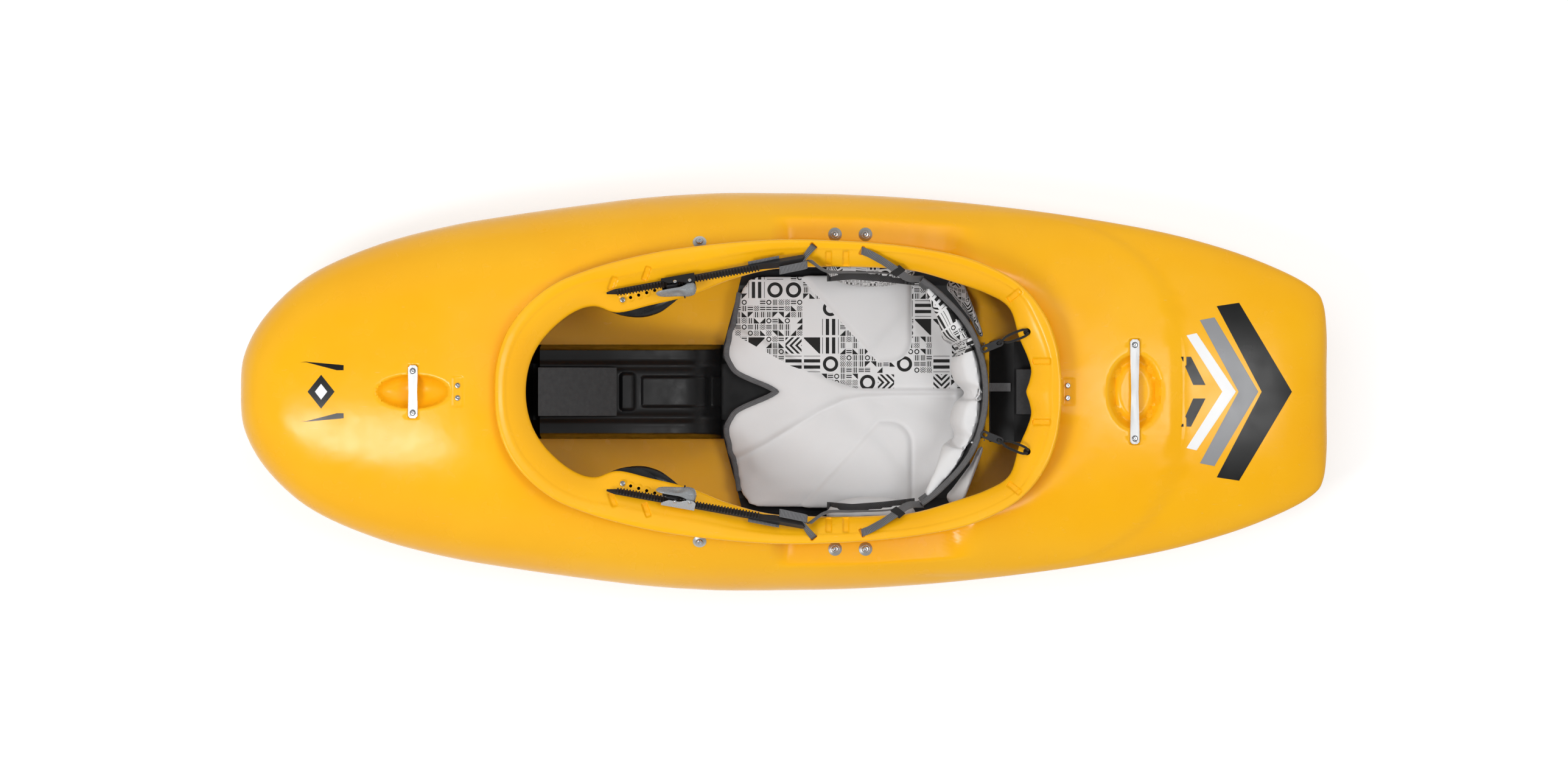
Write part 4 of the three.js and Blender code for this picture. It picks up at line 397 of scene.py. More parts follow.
def dent_depth(x, y):
    """Bowls first, then the ring round the stern's bowl, the flats and, on top of all, the bosses."""
    depth = np.zeros_like(x)
    side_y = np.abs(y)
    for *oval, deep in BOWLS:
        reach = bowl_reach(x, y, *oval)
        bowl = deep * MM * np.sqrt(np.maximum(0, 1 - np.minimum(reach, 1) ** BOWL_POWER))
        lip = BOWL_LIP * (1 - smooth(reach, *BOWL_EDGE))
        depth = np.maximum(depth, np.where(reach < 1, np.maximum(bowl, lip), lip))
    *oval, deep = RING
    depth = depth + deep * MM * np.exp(-(((bowl_reach(x, y, *oval) - RING_MIDDLE) / RING_WIDTH) ** 2))
    for cx, cy, turn, length, width, deep, corner in FLATS:
        c, s = math.cos(math.radians(turn)), math.sin(math.radians(turn))
        dx, dy = x - cx * MM, side_y - cy * MM
        along = np.abs(dx * c + dy * s) - (length / 2 - corner) * MM
        aside = np.abs(dy * c - dx * s) - (width / 2 - corner) * MM
        outside = np.hypot(np.maximum(along, 0), np.maximum(aside, 0)) + np.minimum(np.maximum(along, aside), 0)
        soft_from, soft_to = (share * corner * MM for share in FLAT_EDGE)
        depth = np.maximum(depth, deep * MM * (1 - smooth(outside, soft_from, soft_to)))
    return depth + boss_depth(x, side_y)


def ledge_depth(x, y, z):
    """The ledge lowers the rim's face alone, so its underside stays clear of the sliding braces."""
    side_y = np.abs(y)
    brow = np.interp(x, *(np.array(LEDGE) * MM).T) - side_y
    depth = LEDGE_DEPTH * smooth(brow, *LEDGE_BROW) * smooth(x, *LEDGE_START) * (1 - smooth(x, *LEDGE_END))
    face = smooth(z - rim_plane(x) + FLANGE_DROP, *LEDGE_FACE)
    return np.where(side_y < LEDGE_LEAST_Y, 0, depth * face)


print("dents:", len(BOWLS), "bowls,", len(FLATS), "flats and", len(HOOK_ROW), "bosses a side")

# %% [markdown]
# ## The hull shell
# Real hulls of this kind are one hollow shell about 5 mm thick. The skin is lofted ring by ring: down the
# inside of the opening's edge, across the rim's dished face, round its rolled lip, down the neck, over the
# deck to the widest line and under the bottom to the keel. The inner face follows the same rays further in.
# %% Rings of the rim
FACE_STEP, STEP_INNER, STEP_OUTER = 1.8 * MM, (0.30, 0.38), (0.92, 1.0)


def ray_ring(distance, height):
    """One ring: distance out along each ray from the opening's edge, and a height there."""
    plan = opening_loop + ray_out * np.broadcast_to(distance, RAY_COUNT)[:, None]
    z = height(plan[:, 0], plan[:, 1], distance)
    return np.column_stack([plan, np.broadcast_to(z, RAY_COUNT)])


def flange_height(x, y, distance):
    """The rim's face: dished towards the opening, and lower inside its outer third by a small step."""
    share = (ray_span - distance) / ray_span
    step = FACE_STEP * (smooth(share, *STEP_INNER) - smooth(share, *STEP_OUTER))
    return rim_plane(x) - FLANGE_DROP * share**2 - step


NECK = ray_span - LIP_OVERHANG
FOOT = NECK + NECK_FOOT


def foot_height(inset):
    foot = opening_loop + ray_out * FOOT[:, None]
    return skin(foot[:, 0], foot[:, 1], inset)[0]


def lip_ring(turn):
    """The rolled lip, as a half turn round the middle of its thickness."""
    radius = LIP_THICKNESS / 2
    out = ray_span - LIP_ROUND + LIP_ROUND * math.cos(turn)
    return ray_ring(out, lambda x, y, d: rim_plane(x) - radius + radius * math.sin(turn))


print("the neck stands", round(NECK.min() / MM), "to", round(NECK.max() / MM), "mm from the opening's edge")

# %% Rings of the deck and the bottom
TROUGH_DEEPER, TROUGH_SHARE = 1.6, 0.09
TROUGH_AFT, TROUGH_ASIDE = (340 * MM, 450 * MM), (34 * MM, 60 * MM)
CROWDING = 0.9


def inset_gunwale(inset):
    plan = gunwale_loop * [(HALF_LENGTH - inset) / HALF_LENGTH, (HALF_BEAM - inset) / HALF_BEAM]
    return np.column_stack([plan, gunwale_at(gunwale_loop[:, 0])])


def deck_rings(shares, inset):
    """From the neck's foot to the widest line; a trough runs round the foot, deeper behind the seat."""
    foot = opening_loop + ray_out * (FOOT - inset)[:, None]
    edge = inset_gunwale(inset)[:, :2]
    rings = []
    for share in shares:
        plan = foot + (edge - foot) * share
        aft, aside = smooth(plan[:, 0], *TROUGH_AFT), smooth(np.abs(plan[:, 1]), *TROUGH_ASIDE)
        deeper = 1 + TROUGH_DEEPER * aft * aside
        trough = TROUGH * deeper * (1 - smooth(share, 0.0, TROUGH_SHARE))
        rings.append(np.column_stack([plan, skin(plan[:, 0], plan[:, 1], inset)[0] - trough]))
    return rings


def bottom_rings(shares, inset):
    rings = []
    for share in shares:
        plan = inset_gunwale(inset)[:, :2] * share
        rings.append(np.column_stack([plan, skin(plan[:, 0], plan[:, 1], inset)[1]]))
    return rings


def rounded_shares(count):
    """Shares from 0 to 1 that crowd towards 1, where the skin turns over the gunwale."""
    return [math.sin(n / count * math.pi / 2) ** CROWDING for n in range(1, count)]


print("deck and bottom rings run from", round(2 * FOOT.max() / MM), "mm round the opening to the keel")

# %% All rings, outside from the opening to the keel and inside along the same way
outer_rings = [ray_ring(0.6 * MM, lambda x, y, d: rim_plane(x) - FLANGE_DROP - EDGE_DEPTH + 1 * MM)]
outer_rings += [ray_ring(0.0, lambda x, y, d, low=low: rim_plane(x) - FLANGE_DROP - FACE_STEP - low * MM)
                for low in (10, 6, 2.2)]
outer_rings += [ray_ring(0.7 * MM, lambda x, y, d: rim_plane(x) - FLANGE_DROP - 1.6 * MM)]
outer_rings += [ray_ring(ray_span * share, flange_height)
                for share in (0.05, 0.12, 0.2, 0.3, 0.4, 0.5, 0.57, 0.61, 0.65, 0.69, 0.74, 0.8, 0.87)]
outer_rings += [lip_ring(math.radians(turn)) for turn in (90, 66, 42, 20, 0, -20, -42, -66, -90)]
outer_rings += [ray_ring(NECK, lambda x, y, d: rim_plane(x) - LIP_THICKNESS - 1 * MM)]
outer_rings += [ray_ring(NECK, lambda x, y, d: rim_plane(x) - LIP_THICKNESS - LIP_ROUND)]
outer_rings += [ray_ring(NECK + NECK_FOOT * out, lambda x, y, d, up=up: foot_height(0) - TROUGH + up * MM)
                for out, up in ((0.0, 13), (0.06, 8), (0.25, 3.6), (0.55, 1), (1.0, 0))]
outer_rings += deck_rings([0.012, 0.024, 0.048] + [0.05 + 0.95 * s for s in rounded_shares(34)], 0)
outer_rings += [inset_gunwale(0)]
outer_rings += bottom_rings([0.9985, 0.996, 0.99, 0.98, 0.965, 0.945, 0.92, 0.89, 0.85, 0.8, 0.74, 0.66, 0.56,
                             0.44, 0.3, 0.15, 0.04], 0)
inner_rings = [ray_ring(2.5 * MM, lambda x, y, d: rim_plane(x) - FLANGE_DROP - EDGE_DEPTH + 0.2 * MM)]
inner_rings += [ray_ring(HULL_WALL, lambda x, y, d: rim_plane(x) - FLANGE_DROP - EDGE_DEPTH + 1 * MM)]
inner_rings += [ray_ring(HULL_WALL + (NECK - 2 * HULL_WALL) * share,
                         lambda x, y, d: flange_height(x, y, d) - HULL_WALL) for share in (0.05, 0.3, 0.6, 0.9)]
inner_rings += [ray_ring(NECK - HULL_WALL, lambda x, y, d: rim_plane(x) - LIP_THICKNESS - LIP_ROUND)]
inner_rings += [ray_ring(NECK - HULL_WALL, lambda x, y, d: foot_height(HULL_WALL) + NECK_FOOT)]
inner_rings += deck_rings([0.05, 0.15, 0.3, 0.45, 0.6, 0.72, 0.82, 0.9, 0.95, 0.985], HULL_WALL)
inner_rings += [inset_gunwale(HULL_WALL)]
inner_rings += bottom_rings([0.995, 0.985, 0.965, 0.94, 0.9, 0.84, 0.76, 0.66, 0.5, 0.3, 0.1], HULL_WALL)
print("shell:", len(outer_rings), "rings outside and", len(inner_rings), "inside,", RAY_COUNT, "rays")

# %% Loft the shell, refine it at the dents and push them in
BOWL_CUTS, SMALL_CUTS, SHORTEST_CUT = 2, 3, 2.4 * MM
BOWL_MARGIN, FLAT_MARGIN, HOOK_HALF = 12, 6, 10
LEAST_DECK_Z = 180 * MM


def loft_shell():
    bm = bmesh.new()
    verts, edges = first_ring(bm, outer_rings[0])
    start = verts, edges
    for ring in outer_rings[1:]:
        verts, edges = extrude_ring(bm, verts, edges, ring)
    bmesh.ops.poke(bm, faces=[bm.faces.new(verts)])
    verts, edges = start
    for ring in inner_rings:
        verts, edges = extrude_ring(bm, verts, edges, ring)
    bmesh.ops.poke(bm, faces=[bm.faces.new(verts)])
    return bm


def refine_dents(bm):
    """Cut the skin finer, twice round the bowls and three times at the flats and the hook rows."""
    for cut_round in range(SMALL_CUTS):
        chosen = set()
        for cx, cy, half_x, half_y, _ in BOWLS if cut_round < BOWL_CUTS else []:
            chosen |= near_edges(bm, cx, cy, half_x + BOWL_MARGIN, half_y + BOWL_MARGIN)
        for cx, cy, turn, length, width, _, _ in FLATS:
            long_half, wide_half = length / 2 + FLAT_MARGIN, width / 2 + FLAT_MARGIN
            widest = max(long_half, wide_half)
            tall = {0: wide_half, 90: long_half}.get(turn, widest)
            across = wide_half if turn == 90 else widest
            for side in (1, -1) if cy else (1,):
                chosen |= near_edges(bm, cx, cy * side, across, tall)
        for side in (1, -1):
            for cx, cy in HOOK_ROW:
                chosen |= near_edges(bm, cx, cy * side, HOOK_HALF, HOOK_HALF)
        edges = [edge for edge in chosen if edge.calc_length() > SHORTEST_CUT]
        bmesh.ops.subdivide_edges(bm, edges=edges, cuts=1, use_grid_fill=True, smooth=0.0)


def near_edges(bm, cx, cy, half_x, half_y):
    chosen = set()
    for edge in bm.edges:
        a, b = edge.verts[0].co, edge.verts[1].co
        low = min(a.z, b.z)
        x, y = (a.x + b.x) / 2 / MM, (a.y + b.y) / 2 / MM
        if low > LEAST_DECK_Z and abs(x - cx) < half_x and abs(y - cy) < half_y:
            chosen.add(edge)
    return chosen


def push_dents(bm):
    verts = [v for v in bm.verts if v.co.z > LEAST_DECK_Z]
    places = np.array([v.co for v in verts])
    for vert, depth in zip(verts, dent_depth(*places.T[:2]) + ledge_depth(*places.T)):
        vert.co.z -= depth


shell_bm = loft_shell()
refine_dents(shell_bm)
push_dents(shell_bm)
bmesh.ops.recalc_face_normals(shell_bm, faces=shell_bm.faces)
hull = finish_object(shell_bm, "hull_skin", smooth_angle=50)
print("hull skin:", len(hull.data.polygons), "faces")

# %% [markdown]
# ## Holes through the rim
# The rim is drilled after moulding: a row of holes for each thigh brace, a slot for each strap and a round
# hole for each elastic loop. One joined cutter and one Boolean keep the edges clean.
# %% Drill the rim
LOOP_HOLE = (430, 106)
HOOK_RADIUS, LOOP_RADIUS, DRILL_REACH = 2.9, 6.5, 14
# x, y, turn, length, width
STRAP_SLOTS = [(52, 258, -44, 15, 7), (137.5, 250, 62, 17, 7)]
SLOT_REACH, SLOT_CORNER = 13, 2.4
hull_tree = BVHTree.FromObject(hull, bpy.context.evaluated_depsgraph_get())


def top_at(tree, x, y, start=1.0):
    hit, normal, _, _ = tree.ray_cast(Vector((x, y, start)), Vector((0, 0, -1)))
    return hit, normal


def add_drill(bm, x, y, radius):
    hit, _ = top_at(hull_tree, x * MM, y * MM)
    place = Matrix.Translation((x * MM, y * MM, hit.z))
    bmesh.ops.create_cone(bm, cap_ends=True, segments=24, radius1=radius * MM, radius2=radius * MM,
                          depth=2 * DRILL_REACH * MM, matrix=place)


def add_slot(bm, x, y, turn, length, width):
    hit, _ = top_at(hull_tree, x * MM, y * MM)
    place = (Matrix.Translation((x * MM, y * MM, hit.z)) @ Matrix.Rotation(math.radians(turn), 4, "Z")
             @ Matrix.Diagonal((length * MM, width * MM, 2 * SLOT_REACH * MM, 1)))
    made = bmesh.ops.create_cube(bm, size=1, matrix=place)["verts"]
    upright = [edge for edge in bm.edges if edge.verts[0] in made
               and abs((edge.verts[0].co - edge.verts[1].co).z) > SLOT_REACH * MM]
    bmesh.ops.bevel(bm, geom=upright, offset=SLOT_CORNER * MM, segments=4, profile=0.5, affect="EDGES",
                    material=-1)


drill_bm = bmesh.new()
for _, side in RIGHT_LEFT:
    for x, y in HOOK_ROW:
        add_drill(drill_bm, x, y * side, HOOK_RADIUS)
    add_drill(drill_bm, LOOP_HOLE[0], LOOP_HOLE[1] * side, LOOP_RADIUS)
    for x, y, turn, length, width in STRAP_SLOTS:
        add_slot(drill_bm, x, y * side, turn * side, length, width)
bmesh.ops.recalc_face_normals(drill_bm, faces=drill_bm.faces)
drill = finish_object(drill_bm, "drill")


def baked(piece):
    """Apply the modifiers of a piece to its mesh."""
    mesh = bpy.data.meshes.new_from_object(piece.evaluated_get(bpy.context.evaluated_depsgraph_get()))
    piece.modifiers.clear()
    piece.data = mesh
    return piece


cut = hull.modifiers.new("drilled", "BOOLEAN")
cut.operation = "DIFFERENCE"
cut.solver = "EXACT"
cut.object = drill
baked(hull)
bpy.data.objects.remove(drill)
hull.data.set_sharp_from_angle(angle=math.radians(50))
hull_tree = BVHTree.FromObject(hull, bpy.context.evaluated_depsgraph_get())
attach(hull, "hull")
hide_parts("hull_shell")
print("drilled hull:", len(hull.data.polygons), "faces")

# %% [markdown]
# ## Helpers for materials
# Colours are written as sRGB hex and turned to the linear values that the renderer works in. Every texture
# scale is worked out from a real size in millimetres, because Object coordinates are in metres.
# %% One function adds a node, one turns a colour linear


def linear(hex_colour):
    channels = [int(hex_colour[n:n + 2], 16) / 255 for n in (1, 3, 5)]
    return tuple(c / 12.92 if c <= 0.04045 else ((c + 0.055) / 1.055) ** 2.4 for c in channels) + (1.0,)


def per_mm(size):
    """Texture scale at which a feature is about so many millimetres across."""
    return 1000 / size


def add(tree, kind, *values, named=None, **settings):
    """A shader node with its settings; each input is a value, or a node or socket to link from."""
    node = tree.nodes.new("ShaderNode" + kind)
    for key, value in settings.items():
        setattr(node, key, value)
    for key, value in [*enumerate(values), *(named or {}).items()]:
        if isinstance(value, bpy.types.Node):
            value = value.outputs[0]
        if isinstance(value, bpy.types.NodeSocket):
            tree.links.new(value, node.inputs[key])
        elif value is not None:
            node.inputs[key].default_value = value
    return node


def begin(name, hex_colour, roughness, more=None):
    material = bpy.data.materials.new(name)
    material.use_nodes = True
    shader = material.node_tree.nodes["Principled BSDF"]
    for key, value in {"Base Color": linear(hex_colour), "Roughness": roughness, **(more or {})}.items():
        shader.inputs[key].default_value = value
    return material, material.node_tree, shader


def link(tree, source, shader, socket):
    tree.links.new(source.outputs[0] if isinstance(source, bpy.types.Node) else source, shader.inputs[socket])


print("mid grey #808080 is", round(linear("#808080")[0], 3), "in linear light")

# %% [markdown]
# ## Rotomoulded polyethylene
# Powder melts onto the inside of a hot steel mould, so the skin is satin and very slightly wavy, with a fine
# orange peel and a little drift in its colour. Use adds hair-fine pale scratches along the boat.
# %% Hull plastic


def polyethylene():
    material, tree, shader = begin("rotomoulded_polyethylene", "#FDB913", 0.3,
                                   {"IOR": 1.51, "Specular IOR Level": 0.3})
    place = add(tree, "TexCoord").outputs["Object"]
    drift = add(tree, "TexNoise", place, named={"Scale": per_mm(180), "Detail": 3.0})
    tint = add(tree, "Mix", drift, named={6: linear("#F9B00C"), 7: linear("#FFBF1C")}, data_type="RGBA")
    along = add(tree, "Mapping", place, named={"Scale": (0.08, 1.0, 1.0), "Rotation": (0, 0, 0.12)})
    hair = add(tree, "TexNoise", along, named={"Scale": per_mm(3.2), "Detail": 2.0, "Distortion": 0.3})
    scratch = add(tree, "MapRange", hair, 0.72, 0.78, 0.0, 0.16)
    worn = add(tree, "Mix", scratch, named={6: tint.outputs[2], 7: linear("#FFE2A0")}, data_type="RGBA")
    link(tree, worn.outputs[2], shader, "Base Color")
    satin = add(tree, "TexNoise", place, named={"Scale": per_mm(40), "Detail": 2.0})
    link(tree, add(tree, "MapRange", satin, 0.3, 0.7, 0.2, 0.29), shader, "Roughness")
    wave = add(tree, "TexNoise", place, named={"Scale": per_mm(95), "Detail": 3.0})
    peel = add(tree, "TexNoise", place, named={"Scale": per_mm(2.6), "Detail": 2.0})
    wavy = add(tree, "Bump", named={"Strength": 0.5, "Distance": 3.0 * MM, "Height": wave})
    bump = add(tree, "Bump", named={"Strength": 0.35, "Distance": 0.12 * MM, "Height": peel, "Normal": wavy})
    link(tree, bump, shader, "Normal")
    return material


hull.data.materials.append(polyethylene())
print("hull plastic:", hull.data.materials[0].name)

# %% [markdown]
# ## Moulded nylon, pillar plastic and foam
# The buckles and straps are glass-filled nylon with a fine spark-eroded grain. The pillars are foamed plastic
# with a smooth moulded skin. The blocks are minicell foam cut with a knife, so their cells lie open and show
# as pits.
# %% Black plastics and foams


def black_plastic(name, hex_colour, roughness, grain, depth, shine=0.5):
    material, tree, shader = begin(name, hex_colour, roughness, {"IOR": 1.5, "Specular IOR Level": shine})
    place = add(tree, "TexCoord").outputs["Object"]
    grit = add(tree, "TexNoise", place, named={"Scale": per_mm(grain), "Detail": 3.0})
    rub = add(tree, "TexNoise", place, named={"Scale": per_mm(22), "Detail": 3.0})
    link(tree, add(tree, "MapRange", rub, 0.3, 0.7, roughness - 0.07, roughness + 0.08), shader, "Roughness")
    bump = add(tree, "Bump", named={"Strength": 0.5, "Distance": depth * MM, "Height": grit})
    link(tree, bump, shader, "Normal")
    return material


def cut_foam(name, dark, light):
    material, tree, shader = begin(name, dark, 0.95)
    place = add(tree, "TexCoord").outputs["Object"]
    cells = add(tree, "TexVoronoi", place, named={"Scale": per_mm(1.8), "Randomness": 1.0})
    blotch = add(tree, "TexNoise", place, named={"Scale": per_mm(9), "Detail": 4.0})
    tone = add(tree, "Mix", blotch, named={6: linear(dark), 7: linear(light)}, data_type="RGBA")
    link(tree, tone.outputs[2], shader, "Base Color")
    bump = add(tree, "Bump", named={"Strength": 0.6, "Distance": 0.4 * MM, "Height": cells})
    link(tree, bump, shader, "Normal")
    return material


nylon_black = black_plastic("glass_filled_nylon_moulded", "#222224", 0.42, 0.9, 0.10)
pillar_black = black_plastic("pillar_plastic_smooth_moulded", "#151516", 0.38, 1.4, 0.06, shine=0.3)
brace_black = black_plastic("thigh_brace_plastic_glossy_moulded", "#121314", 0.28, 1.6, 0.04)
foam_grey = cut_foam("minicell_foam_knife_cut", "#303031", "#414142")
print("plastics and foams ready")

# %% [markdown]
# ## Metals and the clear lever
# Screws and bolts are turned stainless steel, handles and one buckle are brushed aluminium, and the other
# buckle is painted dark. The levers are moulded in clear polycarbonate, dull and grainy where they have been
# rubbed.
# %% Metals and polycarbonate


def brushed(name, hex_colour, roughness, stretch, grain, turned):
    material, tree, shader = begin(name, hex_colour, roughness, {"Metallic": 1.0, "Anisotropic": turned})
    place = add(tree, "TexCoord").outputs["Object"]
    along = add(tree, "Mapping", place, named={"Scale": stretch})
    lines = add(tree, "TexNoise", along, named={"Scale": per_mm(grain), "Detail": 4.0})
    link(tree, add(tree, "MapRange", lines, 0.3, 0.7, roughness - 0.06, roughness + 0.1), shader, "Roughness")
    bump = add(tree, "Bump", named={"Strength": 0.25, "Distance": 0.05 * MM, "Height": lines})
    link(tree, bump, shader, "Normal")
    return material


def polycarbonate():
    material, tree, shader = begin("clear_polycarbonate_rubbed", "#A9ADB0", 0.22,
                                   {"IOR": 1.585, "Transmission Weight": 0.4})
    place = add(tree, "TexCoord").outputs["Object"]
    grain = add(tree, "TexNoise", place, named={"Scale": per_mm(4), "Detail": 3.0})
    link(tree, add(tree, "MapRange", grain, 0.35, 0.7, 0.12, 0.36), shader, "Roughness")
    bump = add(tree, "Bump", named={"Strength": 0.3, "Distance": 0.3 * MM, "Height": grain})
    link(tree, bump, shader, "Normal")
    return material


stainless = brushed("stainless_steel_turned", "#C4C6C9", 0.26, (1, 1, 1), 2, 0.0)
cup_steel = brushed("stainless_steel_pressed_satin", "#B9BAB8", 0.4, (1, 1, 1), 3, 0.0)
aluminium = brushed("aluminium_brushed", "#E9EAEB", 0.46, (1, 0.04, 1), 1.2, 0.3)
buckle_bright = brushed("buckle_steel_zinc_plated", "#D3D5D7", 0.3, (1, 1, 0.1), 2, 0.0)
buckle_dark = brushed("buckle_steel_blackened", "#3A3B3D", 0.42, (1, 1, 0.1), 2, 0.0)
clear_lever = polycarbonate()
print("metals ready")

# %% [markdown]
# ## Woven tape, webbing and braided elastic
# These are woven flat, so the threads follow the strip. The real threads are about 0.6 mm, finer than one
# dot of the picture, so they are drawn 2 mm wide to show.
# %% Woven materials


def woven(name, dark, light, thread_along, thread_across, depth, slant=0.0, shine=0.1):
    material, tree, shader = begin(name, dark, 0.88, {"Sheen Weight": shine})
    uv = add(tree, "SeparateXYZ", add(tree, "UVMap", uv_map="along"))
    leaning = add(tree, "Math", uv.outputs[1], slant, uv.outputs[0], operation="MULTIPLY_ADD")
    warp = add(tree, "Math", add(tree, "Math", leaning, 2000 * math.pi / thread_along, operation="MULTIPLY"),
               operation="SINE")
    weft = add(tree, "Math", add(tree, "Math", uv.outputs[1], 2000 * math.pi / thread_across,
                                 operation="MULTIPLY"), operation="SINE")
    check = add(tree, "Math", warp, weft, operation="MULTIPLY")
    height = add(tree, "MapRange", check, -0.6, 0.6, 0.0, 1.0)
    place = add(tree, "TexCoord").outputs["Object"]
    dust = add(tree, "TexNoise", place, named={"Scale": per_mm(14), "Detail": 4.0})
    shade = add(tree, "Math", height, add(tree, "MapRange", dust, 0.2, 0.8, 0.65, 1.0), operation="MULTIPLY")
    tone = add(tree, "Mix", shade, named={6: linear(dark), 7: linear(light)}, data_type="RGBA")
    link(tree, tone.outputs[2], shader, "Base Color")
    bump = add(tree, "Bump", named={"Strength": 0.7, "Distance": depth * MM, "Height": height})
    link(tree, bump, shader, "Normal")
    return material


binding_tape = woven("polyester_binding_tape_twill", "#38383A", "#828284", 2.2, 2.6, 0.4, slant=0.8)
webbing_nylon = woven("nylon_webbing_ribbed", "#454547", "#838385", 2.4, 30.0, 0.5)
mesh_tape = woven("nylon_mesh_tape", "#232324", "#5A5A5C", 3.2, 3.0, 0.5)
braid_elastic = woven("elastic_cord_braided", "#0B0B0C", "#2A2A2B", 2.0, 2.4, 0.2, slant=1.0)
hook_tape = woven("hook_and_loop_tape", "#0D0D0E", "#232324", 1.6, 1.6, 0.3)
print("weaves ready")

# %% [markdown]
# ## Seat cloth with its print
# The cover is a smooth white stretch cloth. One half carries a black screen print: here a scatter of plain
# geometric marks, made of cells that each pick a ring, bars, a wedge or a stripe by their own random number.
# A second, finer set of cells fills some of the coarse ones, so large and small marks mix.
# %% A scatter of marks, from two sizes of cell


def marks(tree, u, v, size, seed):
    """1 where a mark is printed; u and v in metres, one mark in each cell of so many millimetres."""
    grid = add(tree, "CombineXYZ", add(tree, "Math", u, per_mm(size), operation="MULTIPLY"),
               add(tree, "Math", v, per_mm(size), operation="MULTIPLY"), seed)
    cell = add(tree, "VectorMath", grid, operation="FLOOR")
    pick = add(tree, "TexWhiteNoise", cell, noise_dimensions="3D")
    turn = add(tree, "SeparateColor", pick.outputs["Color"])
    local = add(tree, "VectorMath", add(tree, "VectorMath", grid, operation="FRACTION"), (0.5, 0.5, 0.5),
                operation="SUBTRACT")
    quarter = add(tree, "Math", add(tree, "Math", add(tree, "Math", turn.outputs[0], 4.0, operation="MULTIPLY"),
                                    operation="FLOOR"), math.pi / 2, operation="MULTIPLY")
    turned = add(tree, "VectorRotate", local, named={"Angle": quarter}, rotation_type="Z_AXIS")
    axes = add(tree, "SeparateXYZ", turned)
    x, y = axes.outputs[0], axes.outputs[1]
    flat_x = add(tree, "Math", x, operation="ABSOLUTE")
    flat_y = add(tree, "Math", y, operation="ABSOLUTE")
    box = add(tree, "Math", add(tree, "Math", flat_x, flat_y, operation="MAXIMUM"), 0.44, operation="LESS_THAN")
    far = add(tree, "Math", add(tree, "Math", x, x, operation="MULTIPLY"),
              add(tree, "Math", y, y, operation="MULTIPLY"), operation="ADD")
    reach = add(tree, "Math", far, operation="SQRT")
    ring = add(tree, "Math", reach, 0.33, 0.085, operation="COMPARE")
    stripes = add(tree, "Math", add(tree, "Math", add(tree, "Math", y, 3.0, operation="MULTIPLY"),
                                    operation="FRACT"), 0.5, 0.27, operation="COMPARE")
    bars = add(tree, "Math", stripes, box, operation="MULTIPLY")
    wedge_line = add(tree, "Math", x, y, operation="ADD")
    wedge = add(tree, "Math", add(tree, "Math", wedge_line, 0.06, operation="LESS_THAN"), box,
                operation="MULTIPLY")
    fold = add(tree, "Math", add(tree, "Math", flat_x, y, operation="SUBTRACT"), 3.2, operation="MULTIPLY")
    chevron = add(tree, "Math", add(tree, "Math", add(tree, "Math", fold, operation="FRACT"), 0.5, 0.24,
                                    operation="COMPARE"), box, operation="MULTIPLY")
    mark = bars
    for least, shape in ((0.22, ring), (0.40, wedge), (0.56, chevron), (0.74, bars)):
        later = add(tree, "Math", turn.outputs[1], least, operation="GREATER_THAN")
        mark = add(tree, "Mix", named={0: later, 2: mark, 3: shape}, data_type="FLOAT")
    printed = add(tree, "Math", turn.outputs[2], 0.9, operation="LESS_THAN")
    return add(tree, "Math", mark, printed, operation="MULTIPLY")


def product(tree, *factors):
    result = factors[0]
    for factor in factors[1:]:
        result = add(tree, "Math", result, factor, operation="MULTIPLY")
    return result


print("five kinds of mark: bars, ring, wedge, chevron and blank")

# %% Where the print lies, and the cloth itself
SEAT_LINE = ((46, 12, 0.556), (46, 12, 0.349))
PANEL_END = (187, 93, 41)
PANEL_EDGE = (1.094, 235)
LEAST_PRINT_Y = 6
BAND_CENTRE, BAND_UNROLLED, BAND_SQUEEZE, BAND_PRINT_FROM = 115, 230, 0.75, math.radians(18)
CELL = {"seat": 33, "band": 33, "pad": 21}
FINE_SHARE = 0.52


def seat_print(tree, x, y):
    """1 on the printed half: outside the plain thigh panel and above the line that runs down to the middle."""
    lines = [add(tree, "Math", x, -slope, (height + base * slope) * MM, operation="MULTIPLY_ADD")
             for height, base, slope in SEAT_LINE]
    bound = add(tree, "Math", add(tree, "Math", *lines, operation="MAXIMUM"), LEAST_PRINT_Y * MM,
                operation="MAXIMUM")
    above = add(tree, "Math", y, bound, operation="GREATER_THAN")
    end_x, end_y, radius = PANEL_END
    slope, offset = PANEL_EDGE
    right = add(tree, "Math", add(tree, "Math", x, end_x * MM, operation="SUBTRACT"), 0.0,
                operation="MAXIMUM")
    low = add(tree, "Math", add(tree, "Math", y, end_y * MM, operation="SUBTRACT"), 0.0, operation="MINIMUM")
    round_end = add(tree, "VectorMath", add(tree, "CombineXYZ", right, low), operation="LENGTH")
    past_end = add(tree, "Math", round_end.outputs["Value"], radius * MM, operation="GREATER_THAN")
    before = add(tree, "Math", add(tree, "Math", x, slope, y, operation="MULTIPLY_ADD"), offset * MM,
                 operation="LESS_THAN")
    return product(tree, above, add(tree, "Math", past_end, before, operation="MAXIMUM"))


